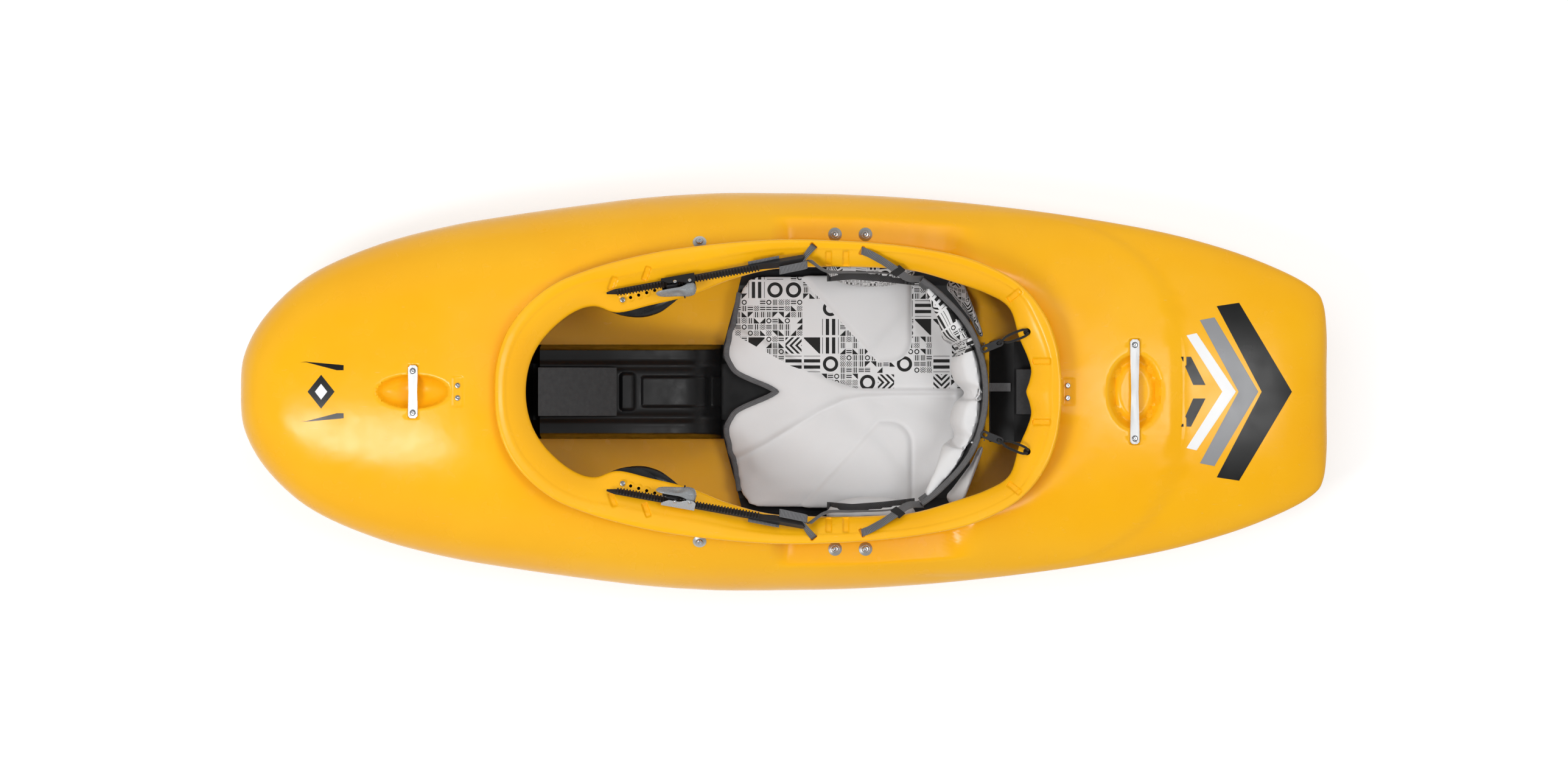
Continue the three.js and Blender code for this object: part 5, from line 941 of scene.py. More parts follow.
def print_plan(tree, kind, x, y, z):
    """How the print is laid out on each kind of cover, and 1 where it is inked."""
    if kind == "seat":
        return x, y, seat_print(tree, x, y)
    if kind == "pad":
        return x, add(tree, "Math", y, z, operation="ADD"), add(tree, "Math", y, 0.0, operation="GREATER_THAN")
    behind = add(tree, "Math", x, -BAND_CENTRE * MM, operation="ADD")
    turn = add(tree, "Math", y, behind, operation="ARCTAN2")
    reach = add(tree, "VectorMath", add(tree, "CombineXYZ", behind, y, 0.0), operation="LENGTH")
    over = add(tree, "Math", reach.outputs["Value"], z, operation="ADD")
    u = add(tree, "Math", turn, BAND_UNROLLED * MM, operation="MULTIPLY")
    v = add(tree, "Math", over, BAND_SQUEEZE, operation="MULTIPLY")
    return u, v, add(tree, "Math", turn, BAND_PRINT_FROM, operation="GREATER_THAN")


def cover_cloth(name, kind):
    """Stretch cloth: matt, softly shining at grazing angles, with a fine knit that is drawn 1.6 mm wide."""
    material, tree, shader = begin(name, "#E3E3E4", 0.78, {"Sheen Weight": 0.15, "Sheen Roughness": 0.5})
    place = add(tree, "TexCoord").outputs["Object"]
    soil = add(tree, "TexNoise", place, named={"Scale": per_mm(120), "Detail": 4.0})
    white = add(tree, "Mix", soil, named={6: linear("#DADADB"), 7: linear("#EAEAEB")}, data_type="RGBA")
    u, v, area = print_plan(tree, kind, *add(tree, "SeparateXYZ", place).outputs)
    cell = CELL[kind]
    coarse = marks(tree, u, v, cell, 1.5)
    fine = marks(tree, u, v, cell / 3, 7.5)
    grid = add(tree, "CombineXYZ", add(tree, "Math", u, per_mm(cell), operation="MULTIPLY"),
               add(tree, "Math", v, per_mm(cell), operation="MULTIPLY"), 3.5)
    choice = add(tree, "TexWhiteNoise", add(tree, "VectorMath", grid, operation="FLOOR"), noise_dimensions="3D")
    small = add(tree, "Math", choice, FINE_SHARE, operation="GREATER_THAN")
    mark = add(tree, "Mix", named={0: small, 2: coarse, 3: fine}, data_type="FLOAT")
    inked = product(tree, mark, area)
    printed = add(tree, "Mix", inked, named={6: white.outputs[2], 7: linear("#161616")}, data_type="RGBA")
    link(tree, printed.outputs[2], shader, "Base Color")
    knit = add(tree, "TexVoronoi", place, named={"Scale": per_mm(1.6)})
    bump = add(tree, "Bump", named={"Strength": 0.18, "Distance": 0.2 * MM, "Height": knit})
    link(tree, bump, shader, "Normal")
    return material


cloth_seat = cover_cloth("stretch_cloth_printed_seat", "seat")
cloth_pad = cover_cloth("stretch_cloth_printed_pad", "pad")
cloth_band = cover_cloth("stretch_cloth_printed_band", "band")
print("cloths ready")

# %% [markdown]
# ## Padded pieces
# Cushions are sewn covers over foam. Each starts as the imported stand-in, made slightly smaller and remeshed
# into even quads. Air pressure in a short cloth simulation swells it, a cap keeps every point near its start,
# and one subdivision rounds the result. Seams and sewn channels are pressed in after that, because remeshing
# would lose them.
# %% Swell a copy of a stand-in
scene = bpy.context.scene
SWELL_FRAMES, SWELL_PRESSURE, SWELL_QUALITY = 20, 4, 4
SMOOTH_ROUNDS = 5


def stand_in(node, name, shrink, voxel):
    """A merged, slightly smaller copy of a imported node, in even quads."""
    bm = bmesh.new()
    bm.from_mesh(frame["nodes"][node].data)
    bmesh.ops.remove_doubles(bm, verts=bm.verts, dist=MERGE)
    bmesh.ops.recalc_face_normals(bm, faces=bm.faces)
    bm.normal_update()
    for vert in bm.verts:
        vert.co -= vert.normal * shrink * MM
    piece = finish_object(bm, name)
    remesh = piece.modifiers.new("even_quads", "REMESH")
    remesh.mode = "VOXEL"
    remesh.voxel_size = voxel * MM
    return baked(piece)


def coordinates(mesh):
    flat = np.empty(len(mesh.vertices) * 3)
    mesh.vertices.foreach_get("co", flat)
    return flat.reshape(-1, 3)


def put(mesh, places):
    mesh.vertices.foreach_set("co", np.ascontiguousarray(places).ravel())
    mesh.update()


def swell(piece, reach):
    """Cloth under pressure; no point moves further than the reach from where it starts."""
    start = coordinates(piece.data)
    cloth = piece.modifiers.new("pressure", "CLOTH")
    cloth.settings.use_pressure = True
    cloth.settings.uniform_pressure_force = SWELL_PRESSURE
    cloth.settings.effector_weights.gravity = 0
    cloth.settings.quality = SWELL_QUALITY
    cloth.point_cache.frame_start = 1
    cloth.point_cache.frame_end = SWELL_FRAMES
    for n in range(1, SWELL_FRAMES + 1):
        scene.frame_set(n)
    baked(piece)
    scene.frame_set(1)
    moved = coordinates(piece.data) - start
    length = np.linalg.norm(moved, axis=1)[:, None] + 1e-9
    put(piece.data, start + moved * np.minimum(1, reach * MM / length))
    return round(float(length.max()) / MM, 1)


def even_out(piece):
    bm = bmesh.new()
    bm.from_mesh(piece.data)
    for _ in range(SMOOTH_ROUNDS):
        bmesh.ops.smooth_vert(bm, verts=bm.verts, factor=0.5, use_axis_x=True, use_axis_y=True, use_axis_z=True)
    bm.to_mesh(piece.data)
    bm.free()
    finer = piece.modifiers.new("rounded", "SUBSURF")
    finer.levels = finer.render_levels = 1
    baked(piece)
    piece.data.shade_smooth()


def padded_piece(node, name, body, cloth, shrink, voxel, reach):
    piece = stand_in(node, name, shrink, voxel)
    moved = swell(piece, reach)
    even_out(piece)
    piece.data.materials.clear()
    piece.data.materials.append(cloth)
    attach(piece, body)
    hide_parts(node)
    print(name, len(piece.data.polygons), "faces, moved up to", moved, "mm before the cap")
    return piece


seat = padded_piece("seat_cushion", "seat_cover", "hull", cloth_seat, 1.2, 5, 5)
backrest = padded_piece("backband_pad", "backband_cover", "backband", cloth_band, 2.0, 4.5, 6)
hip_covers = [padded_piece(f"hip_pad_{side}", f"hip_cover_{side}", "hull", cloth_pad, 2.0, 4, 6)
              for side, _ in RIGHT_LEFT]
for side, _ in RIGHT_LEFT:
    padded_piece(f"tail_pad_{side}", f"tail_cover_{side}", "hull", cloth_pad, 0.6, 4, 2.5)

# %% [markdown]
# ## Channels and panels of the seat
# The thigh panels are raised foam under the cover with a stitched groove round them, and two sewn channels
# run from the front corners to the middle and back along the seat. They are pressed into the fine mesh by
# distance from their lines.
# %% Press the seams into the seat
CHANNEL = [(-92, 124), (-37, 97), (20, 62), (62, 36), (107, 16), (143, 10), (203, 8), (300, 8)]
CHANNEL_HALF, CHANNEL_DEPTH, PANEL_SEAM_HALF, PANEL_SEAM_DEPTH = 4.5, 2.6, 3.5, 2.0
MIDDLE_RISE, MIDDLE_EDGE, PANEL_RISE, PANEL_SLOPE = 4.5, (-16, 1), 4.0, (-12, 2)
TURN_DOWN = 0.25


def line_distance(places, line):
    """Distance in plan from each place to the nearest leg of a line."""
    least = np.full(len(places), 1e9)
    for a, b in zip(np.array(line[:-1]) * MM, np.array(line[1:]) * MM):
        step = b - a
        share = np.clip(((places - a) @ step) / (step @ step), 0, 1)
        least = np.minimum(least, np.linalg.norm(places - a - share[:, None] * step, axis=1))
    return least


def panel_distance(x, y):
    """Signed distance to the edge of the thigh panel, below zero inside."""
    end_x, end_y, radius = PANEL_END
    slope, offset = PANEL_EDGE
    round_end = np.hypot(np.maximum(x - end_x * MM, 0), np.minimum(y - end_y * MM, 0)) - radius * MM
    before = (offset * MM - slope * x - y) / math.hypot(slope, 1)
    return np.maximum(round_end, before)


def seat_relief(places):
    """The middle and the thigh panels stand up, and the channels and the panels' seams are pressed in."""
    x, y = places[:, 0], np.abs(places[:, 1])
    channel = line_distance(np.column_stack([x, y]), CHANNEL)
    bound = np.interp(x, *(np.array(CHANNEL) * MM).T)
    middle = 1 - smooth(y - bound, MIDDLE_EDGE[0] * MM, MIDDLE_EDGE[1] * MM)
    groove = np.exp(-((channel / (CHANNEL_HALF * MM)) ** 2))
    edge = panel_distance(x, y)
    panel = 1 - smooth(edge, PANEL_SLOPE[0] * MM, PANEL_SLOPE[1] * MM)
    stitched = np.exp(-((edge / (PANEL_SEAM_HALF * MM)) ** 2))
    return (MIDDLE_RISE * MM * middle - CHANNEL_DEPTH * MM * groove + PANEL_RISE * MM * panel
            - PANEL_SEAM_DEPTH * MM * stitched)


def press(piece, relief, upright=0.35):
    """Move points along their own normals by the relief, fading out where the surface turns down."""
    mesh = piece.data
    places = coordinates(mesh)
    normals = np.empty(len(places) * 3)
    mesh.vertices.foreach_get("normal", normals)
    normals = normals.reshape(-1, 3)
    weight = smooth(normals[:, 2], upright - TURN_DOWN, upright + TURN_DOWN)
    put(mesh, places + normals * (relief(places) * weight)[:, None])


press(seat, seat_relief)
print("seat seams pressed,", len(CHANNEL), "points on each channel")

# %% [markdown]
# ## Creases of the backband
# The backband's cover is gathered over four foam pillows. Between them the cloth dips and each dip has a
# sharp fold at its top. The dips are pressed in along rays from the middle of the band's arc.
# %% Creases between the pillows
CREASES = (-26, -2, 22)
FOLD_DEPTH, FOLD_TURN, DIP_DEPTH, DIP_TURN = 5.5, 1.5, 3.5, 5.0


def band_relief(places):
    angle = np.degrees(np.arctan2(places[:, 1], places[:, 0] - BAND_CENTRE * MM))
    dip = np.zeros(len(places))
    for crease in CREASES:
        near = np.abs(angle - crease)
        fold = FOLD_DEPTH * MM * np.exp(-((near / FOLD_TURN) ** 2))
        dip = np.maximum(dip, fold + DIP_DEPTH * MM * np.exp(-((near / DIP_TURN) ** 2)))
    return -dip


press(backrest, band_relief, upright=-0.2)
print("backband creases at", CREASES, "degrees")

# %% [markdown]
# ## Straps, bindings and cords
# Webbing is flat and stiff across its width, so a strip is a lens-shaped section carried along a smooth
# route. The routes are those of the imported pieces. Each strip turns from one direction across it to another
# between its ends.
# %% Smooth routes and strips
CURVE_STEPS = 24
STRIP_EDGE, STRIP_SHOULDER = 0.35, 0.45


def smooth_route(points, count):
    """Places at equal steps along a centripetal Catmull-Rom curve through points in millimetres."""
    knots = [Vector(p) * MM for p in points]
    knots = [2 * knots[0] - knots[1], *knots, 2 * knots[-1] - knots[-2]]
    fine = []
    for n in range(1, len(knots) - 2):
        a, b, c, d = knots[n - 1:n + 3]
        t1 = (b - a).length ** 0.5
        t2 = t1 + (c - b).length ** 0.5
        t3 = t2 + (d - c).length ** 0.5
        for step in range(CURVE_STEPS):
            t = t1 + (t2 - t1) * step / CURVE_STEPS
            ab = a.lerp(b, t / t1)
            bc = b.lerp(c, (t - t1) / (t2 - t1))
            cd = c.lerp(d, (t - t2) / (t3 - t2))
            fine.append(ab.lerp(bc, t / t2).lerp(bc.lerp(cd, (t - t1) / (t3 - t1)), (t - t1) / (t2 - t1)))
    fine.append(knots[-2])
    reach = np.concatenate([[0], np.cumsum([(b - a).length for a, b in zip(fine, fine[1:])])])
    want = np.linspace(0, reach[-1], count)
    cols = [np.interp(want, reach, [p[axis] for p in fine]) for axis in range(3)]
    return [Vector(p) for p in zip(*cols)]


def heading(route, n):
    """Direction of a route at its place n."""
    return (route[min(n + 1, len(route) - 1)] - route[max(n - 1, 0)]).normalized()


def strip_rings(route, across_start, across_end, width, thickness):
    """Rings of ten points: a flat section with rounded edges, turned evenly from one direction to another."""
    half, thick = width * MM / 2, thickness * MM / 2
    flat = half - STRIP_EDGE * thick * 2
    face = [(half, STRIP_SHOULDER), (flat, 1), (0, 1), (-flat, 1), (-half, STRIP_SHOULDER)]
    section = face + [(a, -b) for a, b in reversed(face)]
    rings = []
    for n, place in enumerate(route):
        along = heading(route, n)
        across = Vector(across_start).lerp(Vector(across_end), n / (len(route) - 1))
        normal = along.cross(across).normalized()
        side = normal.cross(along).normalized()
        rings.append([place + side * a + normal * b * thick for a, b in section])
    return rings


def dress(piece, body, material, slot, *nodes):
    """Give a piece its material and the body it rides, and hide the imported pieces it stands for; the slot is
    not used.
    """
    piece.data.materials.append(material)
    if body:
        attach(piece, body)
    if nodes:
        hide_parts(*nodes)
    return piece


def stretch(piece, far_body, start, end):
    """Bake the piece's place into its mesh; far_body, start and end are not used."""
    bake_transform(piece)


def both_sides(name, rings, body, material, slot, node=None):
    made = []
    for side, sign in RIGHT_LEFT:
        nodes = [f"{node}_{side}"] if node else []
        made.append(dress(loft(f"{name}_{side}", for_side(rings, sign)), body, material, slot, *nodes))
    return made


print("strips have", 2 * 5, "points round them and follow a curve of", CURVE_STEPS, "steps a leg")

# %% Webbing from the straps and from the rim to the backband
SIDE_ROUTE = [(44.2, 232.9, 314.1), (74, 214, 290), (120, 212, 258), (190, 209, 228), (236.8, 194.6, 203)]
HIP_ROUTE = [(137, 250, 299.1), (149, 245, 306.4), (173, 232, 298.6), (193, 219, 293.1), (219, 202, 266.4),
             (243.4, 200, 226)]
MIDDLE_ROUTE = [(364, 8, 184), (372, 8, 183.1), (402, 8, 197.1)]
WEBBING = (15, 1.6)
hip_route = smooth_route(HIP_ROUTE, 60)
side_rings = strip_rings(smooth_route(SIDE_ROUTE, 60), (0, 0.3, 1), (0, 0, 1), *WEBBING)
hip_rings = strip_rings(hip_route, (0.39, 0.92, 0.62), (0.3, 0.8, 0.9), *WEBBING)
both_sides("side_strap", side_rings, "backband", webbing_nylon, "webbing", "side_webbing")
for strap in both_sides("hip_strap", hip_rings, None, webbing_nylon, "webbing", "hip_webbing"):
    stretch(strap, "backband", (196, 0, 0), (243, 0, 0))
middle_rings = strip_rings(smooth_route(MIDDLE_ROUTE, 24), (0, 1, 0), (0, 1, 0), *WEBBING)
middle_strap = dress(loft("middle_strap", middle_rings), None, webbing_nylon, "webbing", "middle_webbing")
stretch(middle_strap, "backband", (400, 0, 0), (366, 0, 0))
print("webbing:", len(side_rings), "rings a strip")

# %% [markdown]
# ## The backband's edge and the seat's edge
# Both edges are bound with a folded woven tape. The tape is a rounded section carried along the edge. The
# seat's tape follows the front edge of the cover, found by looking for the cover's surface from in front.
# %% Bound edges
BAND = {"radius": 246, "lean": 34, "low": 128, "high": 258, "binding": 9, "reach": 57,
        "axis": 0.76, "taper": 0.66, "from": 0.42, "to": 0.8}
BAND_TAPE_RINGS = 120
SEAT_EDGE_HALF, SEAT_EDGE_Z, EDGE_RAYS = 176, (0.036, 0.062), 13
EDGE_OUT, EDGE_UP = (3.2, 5.2), (0.5, 3.4)


def band_place(angle, inward, height):
    share = (height - BAND["low"]) / (BAND["high"] - BAND["low"])
    radius = BAND["radius"] - inward - BAND["lean"] * (1 - share)
    turn = math.radians(angle)
    return Vector((BAND_CENTRE + radius * math.cos(turn), radius * math.sin(turn), height)) * MM


def band_top(angle):
    middle = BAND["low"] + (BAND["high"] - BAND["low"]) * BAND["axis"]
    taper = 1 - BAND["taper"] * float(smooth(abs(angle) / BAND["reach"], BAND["from"], BAND["to"]))
    return middle + (BAND["high"] - middle) * taper


def band_tape_ring(angle):
    """A low arch over the band's top edge, open side down."""
    top = band_top(angle)
    base = top - BAND["binding"] + 0.3
    ring = []
    for n in range(14):
        turn = math.pi * n / 13
        inward = 2 + 4.6 * math.cos(turn)
        height = base + (top - base) * (0.25 + 0.75 * math.sin(turn) ** 0.7) if 0 < n < 13 else base
        ring.append(band_place(angle, inward, height))
    return ring


band_tape = loft("backband_tape", [band_tape_ring(-BAND["reach"] + 2 * BAND["reach"] * n / BAND_TAPE_RINGS)
                                   for n in range(BAND_TAPE_RINGS + 1)])
dress(band_tape, "backband", binding_tape, "webbing", "backband_binding")


def front_edge(tree, y, z_low, z_high):
    """The foremost place of the seat cover at y, or None where it has no cover."""
    heights = [z_low + (z_high - z_low) * n / (EDGE_RAYS - 1) for n in range(EDGE_RAYS)]
    hits = [tree.ray_cast(Vector((-0.3, y, z)), Vector((1, 0, 0)))[0] for z in heights]
    return min((hit for hit in hits if hit), key=lambda hit: hit.x, default=None)


seat_tree = BVHTree.FromObject(seat, bpy.context.evaluated_depsgraph_get())
edge_line = [front_edge(seat_tree, y * MM, SEAT_EDGE_Z[0], SEAT_EDGE_Z[1] + 0.5 * max(abs(y) - 110, 0) * MM)
             for y in np.linspace(-SEAT_EDGE_HALF, SEAT_EDGE_HALF, 117)]
edge_line = [p for p in edge_line if p]
for _ in range(3):
    inner = [(a + 2 * b + c) / 4 for a, b, c in zip(edge_line, edge_line[1:], edge_line[2:])]
    edge_line = [edge_line[0], *inner, edge_line[-1]]


def edge_tape_rings():
    rings = []
    for n, place in enumerate(edge_line):
        along = heading(edge_line, n)
        out = Vector((along.y, -along.x, 0)).normalized()
        out = -out if out.x > 0 else out
        rings.append([place + out * (EDGE_OUT[0] + EDGE_OUT[1] * math.cos(t)) * MM
                      + UP * (EDGE_UP[0] + EDGE_UP[1] * math.sin(t)) * MM for t in turns(12)])
    return rings


edge_tape = loft("seat_edge_tape", edge_tape_rings())
dress(edge_tape, "hull", binding_tape, "webbing")
print("seat edge tape:", len(edge_line), "rings from", [round(c / MM) for c in edge_line[0]])

# %% [markdown]
# ## Mesh tape on the hip pads, and the keepers
# Each hip pad's back edge is bound in a coarse mesh tape that is seen beside the rim. A tab of black hook
# tape holds the end of the hip strap.
# %% Hip pad tape
TAPE_LINE = [(70, 203), (121, 207), (175, 203), (238, 196)]
TAPE_HALF, TAPE_HIGH, TAPE_LIFT, TAPE_INSIDE = 7.5, 2.6, 1.0, 1.5
TAPE_RAYS_FROM, LEAST_PAD_Z = 0.24, 0.09


def hip_tape_rings(tree):
    """The tape lies on the pad along its line, or just inside the pad's edge where that is nearer."""
    rings = []
    for x in np.linspace(76, 232, 53):
        hits = [top_at(tree, x * MM, y * MM, TAPE_RAYS_FROM)[0] for y in np.linspace(188, 236, 25)]
        hits = [hit for hit in hits if hit and hit.z > LEAST_PAD_Z]
        if not hits:
            continue
        edge = max(hits, key=lambda hit: hit.y).y - TAPE_INSIDE * MM
        middle = min(edge, float(np.interp(x, *np.array(TAPE_LINE).T)) * MM)
        under = min(hits, key=lambda hit: abs(hit.y - middle))
        centre = Vector((x * MM, middle, under.z + TAPE_LIFT * MM))
        rings.append([centre + Vector((0, TAPE_HALF * math.cos(t) * MM, TAPE_HIGH * math.sin(t) * MM))
                      for t in turns(12)])
    return rings


hip_tree = BVHTree.FromObject(hip_covers[0], bpy.context.evaluated_depsgraph_get())
tape_rings = hip_tape_rings(hip_tree)
both_sides("hip_pad_tape", tape_rings, "hull", mesh_tape, "webbing")
print("hip tape rings:", len(tape_rings))

# %% Keepers of the hip straps
KEEPER_WIDTH, KEEPER_LENGTH, KEEPER_THICKNESS, KEEPER_AT = 22, 15, 3.6, 0.52


def keeper_rings(route):
    """A short wide wrap round a strap, part way along its route."""
    middle = int(KEEPER_AT * (len(route) - 1))
    half = heading(route, middle) * KEEPER_LENGTH * MM / 2
    start, end = route[middle] - half, route[middle] + half
    return strip_rings([start.lerp(end, n / 8) for n in range(9)], (0.39, 0.92, 0.62), (0.35, 0.86, 0.75),
                       KEEPER_WIDTH, KEEPER_THICKNESS)


both_sides("hip_strap_keeper", keeper_rings(hip_route), "hull", hook_tape, "webbing")
print("keepers:", KEEPER_WIDTH, "mm wide")

# %% [markdown]
# ## Elastic loops
# A thin braided cord runs from a knot under the rim, up through its hole, round the clip's eye and back down.
# %% Cords of the elastic loops
LOOP_ROUTE = [
    (429, 108.4, 260.7), (428.4, 109.4, 276.2), (421.5, 109.4, 279.6), (393.5, 97.6, 274.6),
    (387, 91.6, 265.5), (382.6, 87.6, 264.5), (380, 85.9, 260.3), (383, 86.4, 256.1), (389.7, 87.9, 255.1),
    (399.6, 88.1, 264.9), (427, 98.6, 279.6), (431.6, 102.6, 276.2), (431, 103.6, 260.7),
]
CORD_RADIUS, CORD_SIDES = 2.2, 14
KNOT_PLACE, KNOT_RADIUS, KNOT_RINGS = Vector((430, 106, 260.7)) * MM, 7.2, 12


def cord_rings(route, radius):
    """Round rings along a route; each takes over its side from the last, so the cord doesn't twist."""
    rings = []
    side = None
    for n, place in enumerate(route):
        along = heading(route, n)
        side = along.cross(UP).normalized() if side is None else (side - along * side.dot(along)).normalized()
        lift = side.cross(along)
        rings.append([place + (side * math.cos(t) + lift * math.sin(t)) * radius * MM
                      for t in turns(CORD_SIDES)])
    return rings


def knot_rings(place, radius):
    rings = []
    for n in range(1, KNOT_RINGS):
        turn = math.pi * n / KNOT_RINGS
        wide = radius * MM * math.sin(turn) * (1 + 0.1 * math.cos(4 * turn))
        rings.append([place + Vector((wide * math.cos(t), wide * math.sin(t), radius * MM * math.cos(turn)))
                      for t in turns(CORD_SIDES)])
    return rings


loop_rings = cord_rings(smooth_route(LOOP_ROUTE, 150), CORD_RADIUS)
for loop in both_sides("elastic_cord", loop_rings, None, braid_elastic, "elastic", "elastic_loop"):
    stretch(loop, "backband", (424, 0, 0), (392, 0, 0))
both_sides("elastic_knot", knot_rings(KNOT_PLACE, KNOT_RADIUS), "hull", braid_elastic, "elastic")
print("elastic loops:", len(loop_rings), "rings of", CORD_SIDES, "points")

# %% [markdown]
# ## Screws, bolts and their washers
# Fasteners are turned parts, so each is one profile spun about its axis. A socket is sunk in the head and its
# ring of points is pulled from a circle to a hexagon.
# %% Turned fasteners
FIT = 0.3
DOMED, SOCKET_DEPTH, SOCKET_FLOOR = 0.7, 0.9, 0.75
DECK_SCREW = {"head": 5, "height": 2.2, "shank": 2.4, "length": 16, "socket": 1.7}
HOOK_SCREW = {"head": 5, "height": 2, "shank": 2.2, "length": 9, "socket": 1.7}
CUP_BOLT = {"head": 5.8, "height": 2.6, "shank": 3, "length": 20, "socket": 2.0}
CUP = [(3.4, 0), (12, 0), (12, 0.5), (11.2, 1.1), (9.4, 1.9), (8, 2.9), (7, 3.2), (6.4, 3.2), (5, 2.4),
       (3.4, 2.2), (3.4, 0)]
CUP_HEIGHT = 3.2


def deck_turn(x, y):
    """Place, outward normal and the direction across the boat on the deck."""
    place, normal = deck_frame(x * MM, y * MM)
    along = Vector((normal.z, 0, -normal.x)).normalized()
    return place, normal, normal.cross(along)


def hexagon(piece_bm, place, normal, radius):
    """Pull the ring of the socket from a circle to a hexagon of the same distance across its corners."""
    side = normal.orthogonal().normalized()
    front = normal.cross(side)
    for vert in piece_bm.verts:
        out = vert.co - place
        out -= normal * out.dot(normal)
        if abs(out.length - radius) < MERGE:
            turn = math.atan2(out.dot(front), out.dot(side)) % (math.pi / 3) - math.pi / 6
            vert.co += out * (math.cos(math.pi / 6) / math.cos(turn) - 1)


def fastener(name, place, normal, size, node):
    """Head with a rounded edge, a six-sided socket, and a plain shank."""
    head, height, shank, length, socket = size.values()
    profile = [(0, -length), (shank, -length), (shank, 0), (head, 0)]
    for n in range(1, 6):
        turn = math.pi / 2 * n / 5
        profile.append((head * (DOMED + (1 - DOMED) * math.cos(turn)), height * math.sin(turn)))
    profile += [(socket + 0.4, height + 0.05), (socket, height - 0.3),
                (socket * 0.96, height - socket * SOCKET_FLOOR), (0, height - socket * SOCKET_DEPTH)]
    piece = spun(name, [(r * MM, h * MM) for r, h in profile], place, normal, steps=36)
    bm = bmesh.new()
    bm.from_mesh(piece.data)
    hexagon(bm, place, normal, socket * MM)
    bm.to_mesh(piece.data)
    bm.free()
    return dress(piece, "hull", stainless, "stainless", node)


def cup_washer(name, place, normal, node):
    piece = spun(name, [(r * MM, h * MM) for r, h in CUP], place, normal, steps=48)
    return dress(piece, "hull", cup_steel, "washer", node)


print("a deck screw is", DECK_SCREW["length"], "mm long, a cup washer", 2 * CUP[1][0], "mm wide")

# %% Fasteners in their places
HANDLE_SEAT, PILLAR_SEAT = 4 - 2.5 - 2.2, -2
# x, half the distance between the two screws, height of the head's foot over the undented deck
SCREW_PAIRS = {"bow_handle": (-657, 37, HANDLE_SEAT), "stern_handle": (622, 83, HANDLE_SEAT),
               "front_pillar": (-578, 11, PILLAR_SEAT), "rear_pillar": (503, 11, PILLAR_SEAT)}
BOLTS = {"seat_bolt_front": (90, 279), "seat_bolt_rear": (144, 279), "brace_bolt": (-150, 265)}
for name, (x, half_gap, seat_height) in SCREW_PAIRS.items():
    place, normal, across = deck_turn(x, 0)
    for side, sign in RIGHT_LEFT:
        base = place + across * sign * half_gap * MM + normal * (seat_height + FIT) * MM
        fastener(f"{name}_bolt_{side}", base, normal, DECK_SCREW, f"{name}_screw_{side}")
for name, (x, y) in BOLTS.items():
    for side, sign in RIGHT_LEFT:
        place, normal, _ = deck_turn(x, y * sign)
        cup_washer(f"{name}_cup_{side}", place + normal * FIT * MM, normal, f"{name}_washer_{side}")
        fastener(f"{name}_turned_{side}", place + normal * (CUP_HEIGHT + 2 * FIT) * MM, normal, CUP_BOLT,
                 f"{name}_{side}")
for side, sign in RIGHT_LEFT:
    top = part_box(f"hook_screw_{side}")[1][2]
    place = Vector((HOOK_ROW[0][0] * MM, HOOK_ROW[0][1] * sign * MM, top - HOOK_SCREW["height"] * MM))
    fastener(f"hook_screw_turned_{side}", place, UP, HOOK_SCREW, f"hook_screw_{side}")
print("turned fasteners:", 2 * (len(SCREW_PAIRS) + len(BOLTS) + 1))

# %% [markdown]
# ## Toothed straps
# Each strap is injection moulded in one piece: a thin band with block teeth, a point at one end and a thick
# eye at the other. Its side view is drawn once, made a face and extruded to the strap's width, and its far
# end is narrowed to the point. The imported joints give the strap's own directions.
# %% The strap's directions and its side view
joints = {joint["name"]: joint for joint in frame["record"]["behaviour"]["joints"]}
STRAP_ALONG = -Vector(joints["strap_slide_right"]["axis"])
STRAP_WIDE = -Vector(joints["lever_pivot_right"]["axis"])
STRAP_OUT = STRAP_WIDE.cross(STRAP_ALONG)
PIVOT_ALONG, PIVOT_OUT = 148, 13
STRAP_TIP = (Vector(joints["lever_pivot_right"]["pos_m"]) - STRAP_ALONG * PIVOT_ALONG * MM
             - STRAP_OUT * PIVOT_OUT * MM)
TOOTH_PITCH, TOOTH_TOP, BAND_TOP = 5.5, 4.7, 1.75
FIRST_TOOTH, LAST_TOOTH = 274.0, 20


def mirrored(direction, sign):
    return Vector((direction.x, direction.y * sign, direction.z))


def strap_place(along, out, wide, sign=1):
    """A place from the right strap's own directions, or its mirror image on the left."""
    return mirrored(STRAP_TIP + (STRAP_ALONG * along + STRAP_OUT * out + STRAP_WIDE * wide) * MM, sign)


def strap_side_view():
    points = [(0, -0.6), (14, -BAND_TOP), (276, -BAND_TOP), (298, -3.2), (353, -3.2), (356, -0.8), (356, 2.4),
              (352, 4.8), (304, 4.8), (281, BAND_TOP)]
    along = FIRST_TOOTH
    while along > LAST_TOOTH:
        points += [(along, BAND_TOP), (along - 0.4, TOOTH_TOP), (along - 2.7, TOOTH_TOP),
                   (along - 3.1, BAND_TOP)]
        along -= TOOTH_PITCH
    return points + [(14, BAND_TOP), (0, 0.6)]


print("strap teeth:", sum(out == TOOTH_TOP for _, out in strap_side_view()) // 2)

# %% Extrude the straps and narrow their points
STRAP_EDGES = (-11, 4.5)
POINT_LENGTH, POINT_SHARE = 26, 0.3


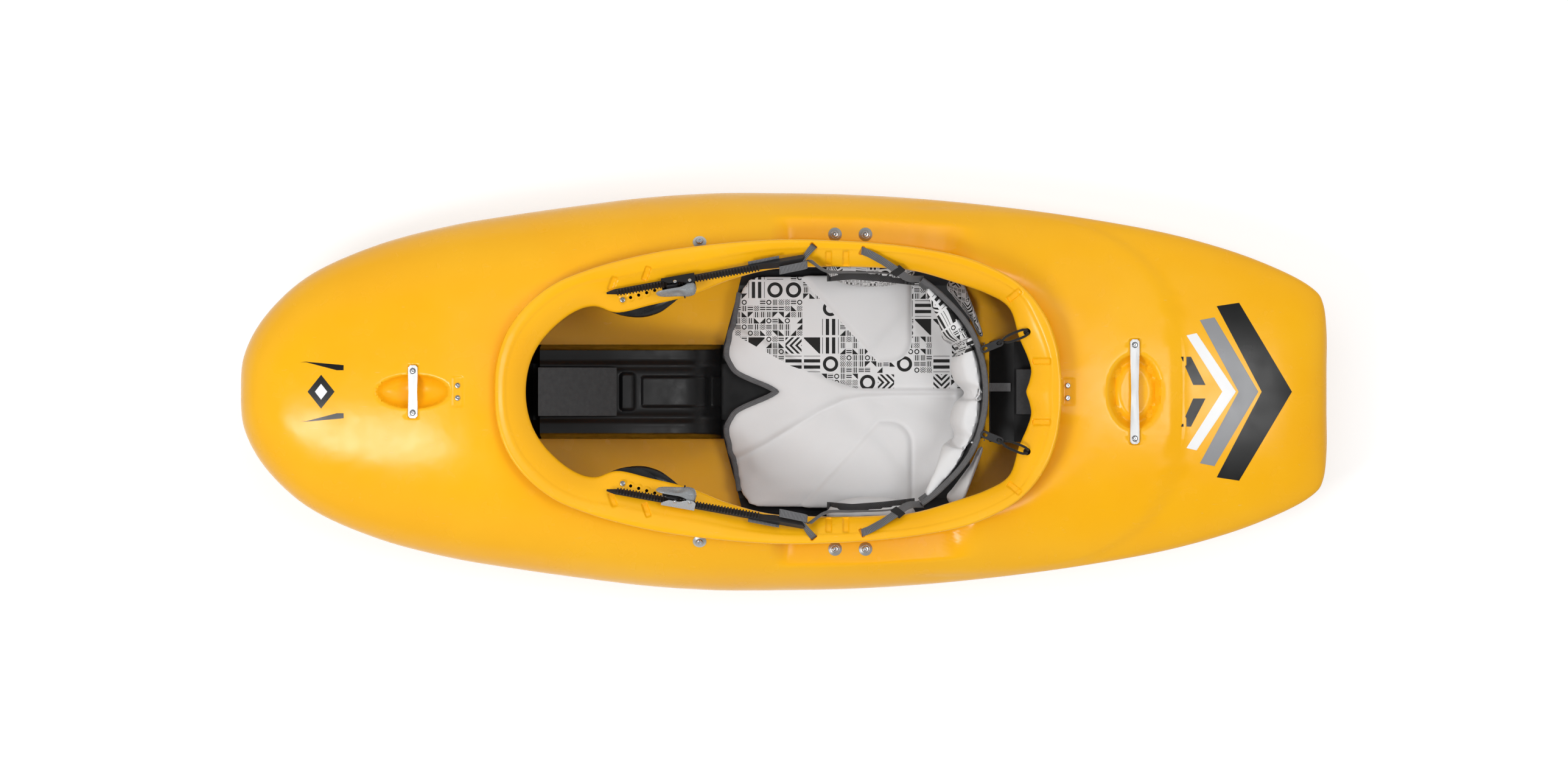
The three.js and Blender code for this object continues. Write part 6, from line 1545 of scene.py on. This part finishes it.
def toothed_strap(name, sign):
    low, high = STRAP_EDGES
    middle = (low + high) / 2
    bm = bmesh.new()
    face = bm.faces.new([bm.verts.new((along, out, low)) for along, out in strap_side_view()])
    made = bmesh.ops.extrude_face_region(bm, geom=[face])["geom"]
    far_side = [item for item in made if isinstance(item, bmesh.types.BMVert)]
    bmesh.ops.translate(bm, vec=(0, 0, high - low), verts=far_side)
    for vert in bm.verts:
        narrow = min(1, POINT_SHARE + 0.7 * vert.co.x / POINT_LENGTH)
        vert.co = strap_place(vert.co.x, vert.co.y, middle + (vert.co.z - middle) * narrow, sign)
    bmesh.ops.recalc_face_normals(bm, faces=bm.faces)
    return finish_object(bm, name, smooth_angle=20)


for side, sign in RIGHT_LEFT:
    piece = toothed_strap(f"toothed_strap_{side}", sign)
    soften = piece.modifiers.new("moulded_edge", "BEVEL")
    soften.width, soften.segments, soften.limit_method = 0.35 * MM, 2, "ANGLE"
    dress(piece, f"ladder_strap_{side}", nylon_black, "black_plastic", f"ladder_strap_{side}")
print("toothed straps:", STRAP_EDGES[1] - STRAP_EDGES[0], "mm wide")

# %% [markdown]
# ## Buckle levers
# The lever is a thumb-sized piece of clear plastic with a soft, swelling form and a hollow for the thumb. It
# is a loft of rounded sections along the strap, and one Boolean drills it for its pin. A black rubber ring is
# rolled over its edge, and the pins end in domed rivets.
# %% Loft and drill the levers
LEVER = [
    # along, underside, top, half width
    (-62, 4.4, 5.6, 2.0), (-58, 4.4, 7.6, 6.0), (-46, 5.4, 9.6, 9.2), (-30, 6.0, 11.8, 10.4),
    (-18, 5.4, 15.0, 10.8), (-9, 1.5, 18.4, 10.9), (0, -4.2, 18.6, 10.9), (5, -2.8, 16.5, 10.2),
    (9, 5, 9.5, 6.5),
]
LEVER_RINGS, LEVER_SIDES, LEVER_POWER = 45, 28, 0.62
THUMB_DEPTH, THUMB_AT, THUMB_LENGTH, THUMB_WIDTH = 2.6, -24, 9, 6
PIN_RADIUS, PIN_LENGTH = 2.5, 40


def lever_rings(sign):
    rings = []
    tables = [[(row[0], row[column]) for row in LEVER] for column in (1, 2, 3)]
    for along in np.linspace(LEVER[0][0], LEVER[-1][0], LEVER_RINGS):
        low, high, half = (float(table_value(table, along)) for table in tables)
        ring = []
        for t in turns(LEVER_SIDES):
            c, s = math.cos(t), math.sin(t)
            wide = half * math.copysign(abs(c) ** LEVER_POWER, c)
            out = (low + high) / 2 + (high - low) / 2 * math.copysign(abs(s) ** LEVER_POWER, s)
            if s > 0:
                thumb = -((along - THUMB_AT) / THUMB_LENGTH) ** 2 - (wide / THUMB_WIDTH) ** 2
                out -= THUMB_DEPTH * math.exp(thumb)
            ring.append(strap_place(PIVOT_ALONG + along, PIVOT_OUT + out, wide, sign))
        rings.append(ring)
    return rings


def drilled_lever(name, sign):
    lever = loft(name, lever_rings(sign))
    bm = bmesh.new()
    turn = UP.rotation_difference(mirrored(STRAP_WIDE, sign))
    place = Matrix.Translation(strap_place(PIVOT_ALONG, PIVOT_OUT, 0, sign)) @ turn.to_matrix().to_4x4()
    bmesh.ops.create_cone(bm, cap_ends=True, segments=28, radius1=PIN_RADIUS * MM, radius2=PIN_RADIUS * MM,
                          depth=PIN_LENGTH * MM, matrix=place)
    cutter = finish_object(bm, "pin_drill")
    hole = lever.modifiers.new("pin_hole", "BOOLEAN")
    hole.operation, hole.solver, hole.object = "DIFFERENCE", "EXACT", cutter
    baked(lever)
    bpy.data.objects.remove(cutter)
    return lever


print("levers:", LEVER[-1][0] - LEVER[0][0], "mm long,", LEVER_RINGS, "rings of", LEVER_SIDES, "points")

# %% Levers, the rings on them and the rivets of their pins
RING_RADIUS, RING_TUBE, RING_PLACE = 4.6, 1.2, (-13, 12, 9.4)
RIVET = [(0, -0.6), (3.3, -0.6), (3.3, 0.2), (2.9, 0.9), (1.9, 1.4), (0.8, 1.5), (0.7, 1.0), (0, 1.0)]
RIVET_PLACES = ((0, 0, -14.7), (-26, -3, -14.7))


def torus_profile(radius, tube):
    return [((radius + tube * math.cos(t)) * MM, tube * math.sin(t) * MM) for t in [*turns(12), 2 * math.pi]]


def by_pivot(along, out, wide, sign):
    return strap_place(PIVOT_ALONG + along, PIVOT_OUT + out, wide, sign)


for side, sign in RIGHT_LEFT:
    lever = drilled_lever(f"lever_clear_{side}", sign)
    dress(lever, f"buckle_lever_{side}", clear_lever, "clear_plastic", f"buckle_lever_{side}")
    ring = spun(f"lever_ring_{side}", torus_profile(RING_RADIUS, RING_TUBE), by_pivot(*RING_PLACE, sign),
                mirrored(STRAP_ALONG, sign))
    dress(ring, f"buckle_lever_{side}", nylon_black, "black_plastic")
    for n, spot in enumerate(RIVET_PLACES):
        rivet = spun(f"buckle_rivet_{n}_{side}", [(r * MM, h * MM) for r, h in RIVET], by_pivot(*spot, sign),
                     -mirrored(STRAP_WIDE, sign))
        dress(rivet, "hull", stainless, "stainless")
print("levers:", len(lever.data.polygons), "faces each, with a ring and", len(RIVET_PLACES), "rivets a side")

# %% [markdown]
# ## Webbing at the end of each strap
# A folded loop of webbing holds the strap's eye, a doubled piece lies behind it, and a short twisted tail
# goes up through the slot in the rim. They are strips like the others, on the routes that the picture shows.
# %% Loops, backing and tails
EYE_LOOP = [(36, 225, 314.5), (40.5, 225.5, 317.5), (36, 223.5, 320.5), (20, 220, 322), (-2, 215.6, 322.4),
            (-8, 214.5, 320), (-4, 215, 317), (12, 218.5, 315.6), (30, 222.5, 313.4)]
TAIL_ROUTE = [(31, 231, 314), (37, 239.5, 317.5), (44, 248.5, 318), (50.5, 256, 313), (53, 259, 303)]
eye_rings = strip_rings(smooth_route(EYE_LOOP, 60), (0, 1, 0.1), (0, 1, 0.1), 14, 1.6)
tail_rings = strip_rings(smooth_route(TAIL_ROUTE, 40), (0.5, -0.35, 0.9), (0.75, -0.65, 0.1), 12, 1.8)
back_line = [strap_place(256 + 8 * n, -4.6 - 0.15 * n, -6.5) for n in range(8)]
back_rings = strip_rings(back_line, STRAP_WIDE, STRAP_WIDE, 18, 1.8)
for side, sign in RIGHT_LEFT:
    for name, rings in (("eye_loop", eye_rings), ("eye_backing", back_rings)):
        dress(loft(f"{name}_{side}", for_side(rings, sign)), f"ladder_strap_{side}", webbing_nylon, "webbing")
rim_tails = both_sides("rim_tail", tail_rings, None, webbing_nylon, "webbing")
for tail, (side, _) in zip(rim_tails, RIGHT_LEFT):
    stretch(tail, f"ladder_strap_{side}", (50, 0, 0), (33, 0, 0))
print("eye loops, backing and tails laid")

# %% [markdown]
# ## Pads of the thigh braces
# A glossy lens of moulded plastic shows under each side of the rim, where the thigh rests. It is lofted along
# the edge that the picture shows, with rounded sections that grow from nothing to the full width and back.
# %% Lens pads
LENS_EDGE = [(-306, 141), (-291, 135.8), (-274, 132.6), (-258, 131.5), (-242, 133.1), (-220, 140.7),
             (-204, 151.5), (-185, 167)]
LENS_LENGTH, LENS_HEIGHT, LENS_SLOPE, LENS_TILT = 121, 273.5, 0.075, 0.16
LENS_HALF, LENS_TALL = (1, 13, 0.7), (1, 5.5, 0.6)


def lens_rings():
    rings = []
    for x in np.linspace(LENS_EDGE[0][0], LENS_EDGE[-1][0], 49):
        share = math.sin(math.pi * (x + 306) / LENS_LENGTH)
        half, tall = (least + more * share**power for least, more, power in (LENS_HALF, LENS_TALL))
        near = float(table_value(LENS_EDGE, x))
        middle = Vector((x, near + half, LENS_HEIGHT + (-186 - x) * LENS_SLOPE))
        ring = []
        for t in turns(20):
            tilt = half * LENS_TILT * math.cos(t)
            ring.append((middle + Vector((0, half * math.cos(t), tall * math.sin(t) + tilt))) * MM)
        rings.append(ring)
    return rings


lens = lens_rings()
for side, sign in RIGHT_LEFT:
    piece = loft(f"thigh_lens_{side}", for_side(lens, sign))
    dress(piece, f"thigh_brace_{side}", brace_black, "black_plastic")
print("thigh lenses:", len(lens), "rings")

# %% [markdown]
# ## The front pillar's moulded top
# The beam between the paddler's legs is moulded with two rounded rails, a cross hump behind the foam block
# and two grained panels with a groove between them. All of it is one skin, drawn as a height over the plan
# and lofted across the boat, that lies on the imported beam.
# %% Heights of the beam
BEAM_LINE = [(-436, 211.4), (-400, 190.8), (-360, 168), (-325, 149.5), (-295, 136.2), (-255, 122.2),
             (-205, 106.6), (-166, 95.5), (-148, 80), (-130, 54), (-112, 30.5)]
BEAM_HALF, BEAM_FOOT, BEAM_OVER = 84, 22, 1.2
# rise, then x from and to, half width and softness of the edge
HUMP = (9, -294, -264, 36, 9)
PANELS = [(6, -256, -136, 29, 7), (5, -131, -84, 29, 5)]


def slab(x, y, x_low, x_high, half_width, soft):
    """1 on a rounded rectangle and 0 outside it."""
    centre, half = (x_low + x_high) / 2, (x_high - x_low) / 2
    out_x, out_y = abs(x - centre) - half + soft, abs(y) - half_width + soft
    reach = math.hypot(max(out_x, 0), max(out_y, 0)) + min(max(out_x, out_y), 0)
    return 1 - float(smooth(reach, soft * 0.25, soft))


def beam_height(x, y):
    base = float(table_value(BEAM_LINE, x))
    rail = 6.5 * math.exp(-((abs(y) - 46) / 8) ** 2) + 1.5 * float(smooth(abs(y), 54, 66))
    wall = float(smooth(abs(y), 74, BEAM_HALF + 1)) * max(base - BEAM_FOOT, 0)
    hump, long_panel, short_panel = (rise * slab(x, y, *shape) for rise, *shape in (HUMP, *PANELS))
    return max(base + BEAM_OVER + rail + hump + (long_panel + short_panel) - wall, BEAM_FOOT)


print("beam heights at the front and on the hump:", [round(beam_height(x, 0)) for x in (-400, -280)], "mm")

# %% Loft the beam across the boat



def beam_rings():
    rings = []
    for x in np.linspace(-434, -113, 150):
        top = [Vector((x, y, beam_height(x, y))) * MM for y in np.linspace(-BEAM_HALF, BEAM_HALF, 97)]
        under = [Vector((x, y, BEAM_FOOT - 1)) * MM for y in (BEAM_HALF, 40, 0, -40, -BEAM_HALF)]
        rings.append(top + under)
    return rings


beam = dress(loft("front_pillar_top", beam_rings(), smooth_angle=50), "hull", pillar_black, "black_plastic")
print("beam top:", len(beam.data.polygons), "faces")

# %% [markdown]
# ## Graphics on the deck
# The deck carries printed vinyl at the bow and the stern. Here the two places hold plain shapes of like size
# and colours: bars and a diamond at the bow, nested chevrons at the stern. Each shape is a flat outline, cut
# finely so that it can lie on the curved deck, then dropped onto the skin and lifted by the thickness of the
# film.
# %% Shapes laid on the deck


def vinyl(name, hex_colour):
    """Cast vinyl film: smooth, a little glossier than the deck, with faint speckle from the skin under it."""
    material, tree, shader = begin(name, hex_colour, 0.3, {"IOR": 1.48})
    place = add(tree, "TexCoord").outputs["Object"]
    under = add(tree, "TexNoise", place, named={"Scale": per_mm(3), "Detail": 2.0})
    bump = add(tree, "Bump", named={"Strength": 0.25, "Distance": 0.1 * MM, "Height": under})
    link(tree, bump, shader, "Normal")
    handled = add(tree, "TexNoise", place, named={"Scale": per_mm(45), "Detail": 3.0})
    link(tree, add(tree, "MapRange", handled, 0.3, 0.7, 0.26, 0.36), shader, "Roughness")
    return material


VINYLS = {"black": vinyl("vinyl_film_black", "#141414"), "grey": vinyl("vinyl_film_grey", "#8E8F92"),
          "white": vinyl("vinyl_film_white", "#F1F1F1")}


FILM, FILM_OVER, FILM_CELL = 0.35, 0.6, 7


def laid_film(name, outlines, colour, lift=FILM):
    bm = bmesh.new()
    for outline in outlines:
        bm.faces.new([bm.verts.new((x * MM, y * MM, 0)) for x, y in outline])
    xs = [v.co.x for v in bm.verts]
    ys = [v.co.y for v in bm.verts]
    for axis, low, high in (((1, 0, 0), min(xs), max(xs)), ((0, 1, 0), min(ys), max(ys))):
        for n in range(1, int((high - low) / (FILM_CELL * MM))):
            spot = [c * (low + n * FILM_CELL * MM) for c in axis]
            everything = bm.verts[:] + bm.edges[:] + bm.faces[:]
            bmesh.ops.bisect_plane(bm, geom=everything, plane_co=spot, plane_no=axis)
    for vert in bm.verts:
        hit, normal = top_at(hull_tree, vert.co.x, vert.co.y)
        vert.co = hit + normal * lift * MM
    bmesh.ops.recalc_face_normals(bm, faces=bm.faces)
    if sum(face.normal.z for face in bm.faces) < 0:
        bmesh.ops.reverse_faces(bm, faces=bm.faces)
    piece = finish_object(bm, name)
    return dress(piece, "hull", VINYLS[colour], "pad_cloth")


def chevron(tip_x, root_x, half_width, band, sweep):
    """An arrow head pointing aft, as two mirrored arms meeting at the middle."""
    upper = [(tip_x, 0), (root_x, half_width), (root_x - band, half_width - sweep), (tip_x - band * 1.35, 0)]
    lower = [(x, -y) for x, y in reversed(upper)]
    return [upper, lower]


print("film:", FILM, "mm over the skin, in cells of", FILM_CELL, "mm")

# %% The films of the stern and the bow
STERN_BAR = [(726, 12), (748, 12), (722, 62), (704, 62)]
BOW_BAR = [(-858, 52), (-846, 52), (-792, 38), (-780, 38), (-780, 47), (-846, 53)]
laid_film("stern_film_outer", chevron(902, 808, 158, 40, 6), "black")
laid_film("stern_film_middle", chevron(842, 764, 132, 26, 5), "grey")
laid_film("stern_film_inner", chevron(802, 732, 104, 18, 4), "white")
laid_film("stern_film_bars", [STERN_BAR, [(x, -y) for x, y in reversed(STERN_BAR)]], "black")
laid_film("bow_film_diamond", [[(-820, -30), (-796, 0), (-820, 30), (-844, 0)]], "black")
laid_film("bow_film_heart", [[(-820, -14), (-809, 0), (-820, 14), (-831, 0)]], "white", FILM_OVER)
laid_film("bow_film_bars", [BOW_BAR, [(x, -y) for x, y in BOW_BAR]], "black")
print("film laid at bow and stern")

# %% [markdown]
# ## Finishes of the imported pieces
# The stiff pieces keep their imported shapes. Their loose triangles are joined by a Weld modifier and their
# edges rounded by a Bevel, as a moulded or rolled edge is, and each gets the material of the real piece.
# %% Weld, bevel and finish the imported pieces
WELD_ANGLE = math.radians(32)
# material and width of the bevel in millimetres
FINISHES = {
    "bow_handle": (aluminium, 0.8), "stern_handle": (aluminium, 0.8),
    "front_pillar": (pillar_black, 3.0), "rear_pillar": (pillar_black, 3.0),
    "front_foam_block": (foam_grey, 1.0), "rear_foam_block": (foam_grey, 1.0),
    "bow_foam_pillar": (foam_grey, 1.0), "stern_foam_pillar": (foam_grey, 1.0),
    "seat_pan": (nylon_black, 1.0), "backband_shell": (nylon_black, 1.0),
    "thigh_brace": (brace_black, 1.5), "buckle_pawl": (nylon_black, 0.5), "rear_clip": (nylon_black, 1.0),
}


def finish_node(name, material, bevel):
    node = frame["nodes"][name]
    node.data.materials.clear()
    node.data.materials.append(material)
    weld = node.modifiers.new("joined", "WELD")
    weld.merge_threshold = MERGE
    edge = node.modifiers.new("moulded_edge", "BEVEL")
    edge.width = bevel * MM
    edge.segments = 2
    edge.limit_method = "ANGLE"
    edge.angle_limit = WELD_ANGLE
    edge.harden_normals = True


finished = 0
for name in frame["nodes"]:
    stem = name.removesuffix("_left").removesuffix("_right")
    if stem in FINISHES:
        finish_node(name, *FINISHES[stem])
        finished += 1
finish_node("buckle_frame_right", buckle_dark, 0.4)
finish_node("buckle_frame_left", buckle_bright, 0.4)
print("finished packed pieces:", finished + 2)

# %% [markdown]
# ## Camera, light and floor
# The photograph looks straight down from far away, so the camera stands 30 m above the boat with a long lens.
# One soft lamp hangs ahead of the boat on its left, a second over its stern, and a wide one overhead fills
# the shadows and leaves no highlight. The floor looks white to the camera only, so it throws no light on the
# boat.
# %% Camera
CAMERA_HEIGHT, FOCAL_LENGTH, SENSOR = 30, 385.2, 36


def aim(name, data, place, target=None):
    piece = bpy.data.objects.new(name, data)
    piece.location = place
    if target:
        piece.rotation_euler = (Vector(target) - Vector(place)).to_track_quat("-Z", "Y").to_euler()
    scene.collection.objects.link(piece)
    return piece


camera = bpy.data.cameras.new("camera")
camera.sensor_width = SENSOR
camera.lens = FOCAL_LENGTH
camera.clip_end = 100
scene.camera = aim("camera", camera, (-0.0005, -0.0005, CAMERA_HEIGHT))
print("the picture is", round(SENSOR / FOCAL_LENGTH * CAMERA_HEIGHT, 2), "m wide on the floor")

# %% Lamps and sky


def area_lamp(name, place, size, power):
    lamp = bpy.data.lights.new(name, "AREA")
    lamp.size = size
    lamp.energy = power
    return aim(name, lamp, place, (0, 0, 0.2))


area_lamp("key_lamp", (-2.3, -1.4, 4.4), 1.4, 98)
area_lamp("tail_lamp", (2.2, -0.1, 5.2), 1.3, 45)
overhead = area_lamp("overhead_lamp", (0.2, 1.6, 5.0), 4.0, 90)
overhead.visible_glossy = False

# %% A tent of bright walls with a dim ceiling
WALLS, CEILING, WALL_TOP = 0.6, 0.12, (0.52, 0.86)


def studio_tent():
    world = bpy.data.worlds.new("studio")
    scene.world = world
    world.use_nodes = True
    tree = world.node_tree
    upward = add(tree, "SeparateXYZ", add(tree, "TexCoord").outputs["Generated"])
    power = add(tree, "MapRange", upward.outputs[2], *WALL_TOP, WALLS, CEILING,
                interpolation_type="SMOOTHSTEP")
    tree.links.new(power.outputs[0], tree.nodes["Background"].inputs["Strength"])
    tree.nodes["Background"].inputs["Color"].default_value = (1, 1, 1, 1)


studio_tent()
print("tent: walls", WALLS, "and ceiling", CEILING)

# %% Floor
FLOOR_HALF, FLOOR_Z, FLOOR_GLOW = 8, -0.0005, 0.6


def floor_material():
    """Seamless white paper: matt, with a faint fibre; it glows only for the camera, so the shadow stays."""
    material, tree, shader = begin("studio_paper_white", "#C4C4C4", 0.9)
    place = add(tree, "TexCoord").outputs["Object"]
    fibre = add(tree, "TexNoise", place, named={"Scale": per_mm(4), "Detail": 3.0})
    bump = add(tree, "Bump", named={"Strength": 0.05, "Distance": 0.1 * MM, "Height": fibre})
    link(tree, bump, shader, "Normal")
    path = add(tree, "LightPath")
    seen = add(tree, "Math", path.outputs["Is Camera Ray"], path.outputs["Is Glossy Ray"], operation="MAXIMUM")
    seen = add(tree, "Math", seen, path.outputs["Is Transmission Ray"], operation="MAXIMUM")
    glow = add(tree, "Emission", linear("#FFFFFF"), add(tree, "Math", seen, FLOOR_GLOW, operation="MULTIPLY"))
    both = add(tree, "AddShader", shader, glow)
    tree.links.new(both.outputs[0], tree.nodes["Material Output"].inputs["Surface"])
    return material


floor_bm = bmesh.new()
bmesh.ops.create_grid(floor_bm, x_segments=1, y_segments=1, size=FLOOR_HALF)
bmesh.ops.translate(floor_bm, vec=(0, 0, FLOOR_Z), verts=floor_bm.verts)
floor = finish_object(floor_bm, "floor")
floor.data.materials.append(floor_material())
scene.view_settings.view_transform = "Standard"
print("floor:", 2 * FLOOR_HALF, "m square")
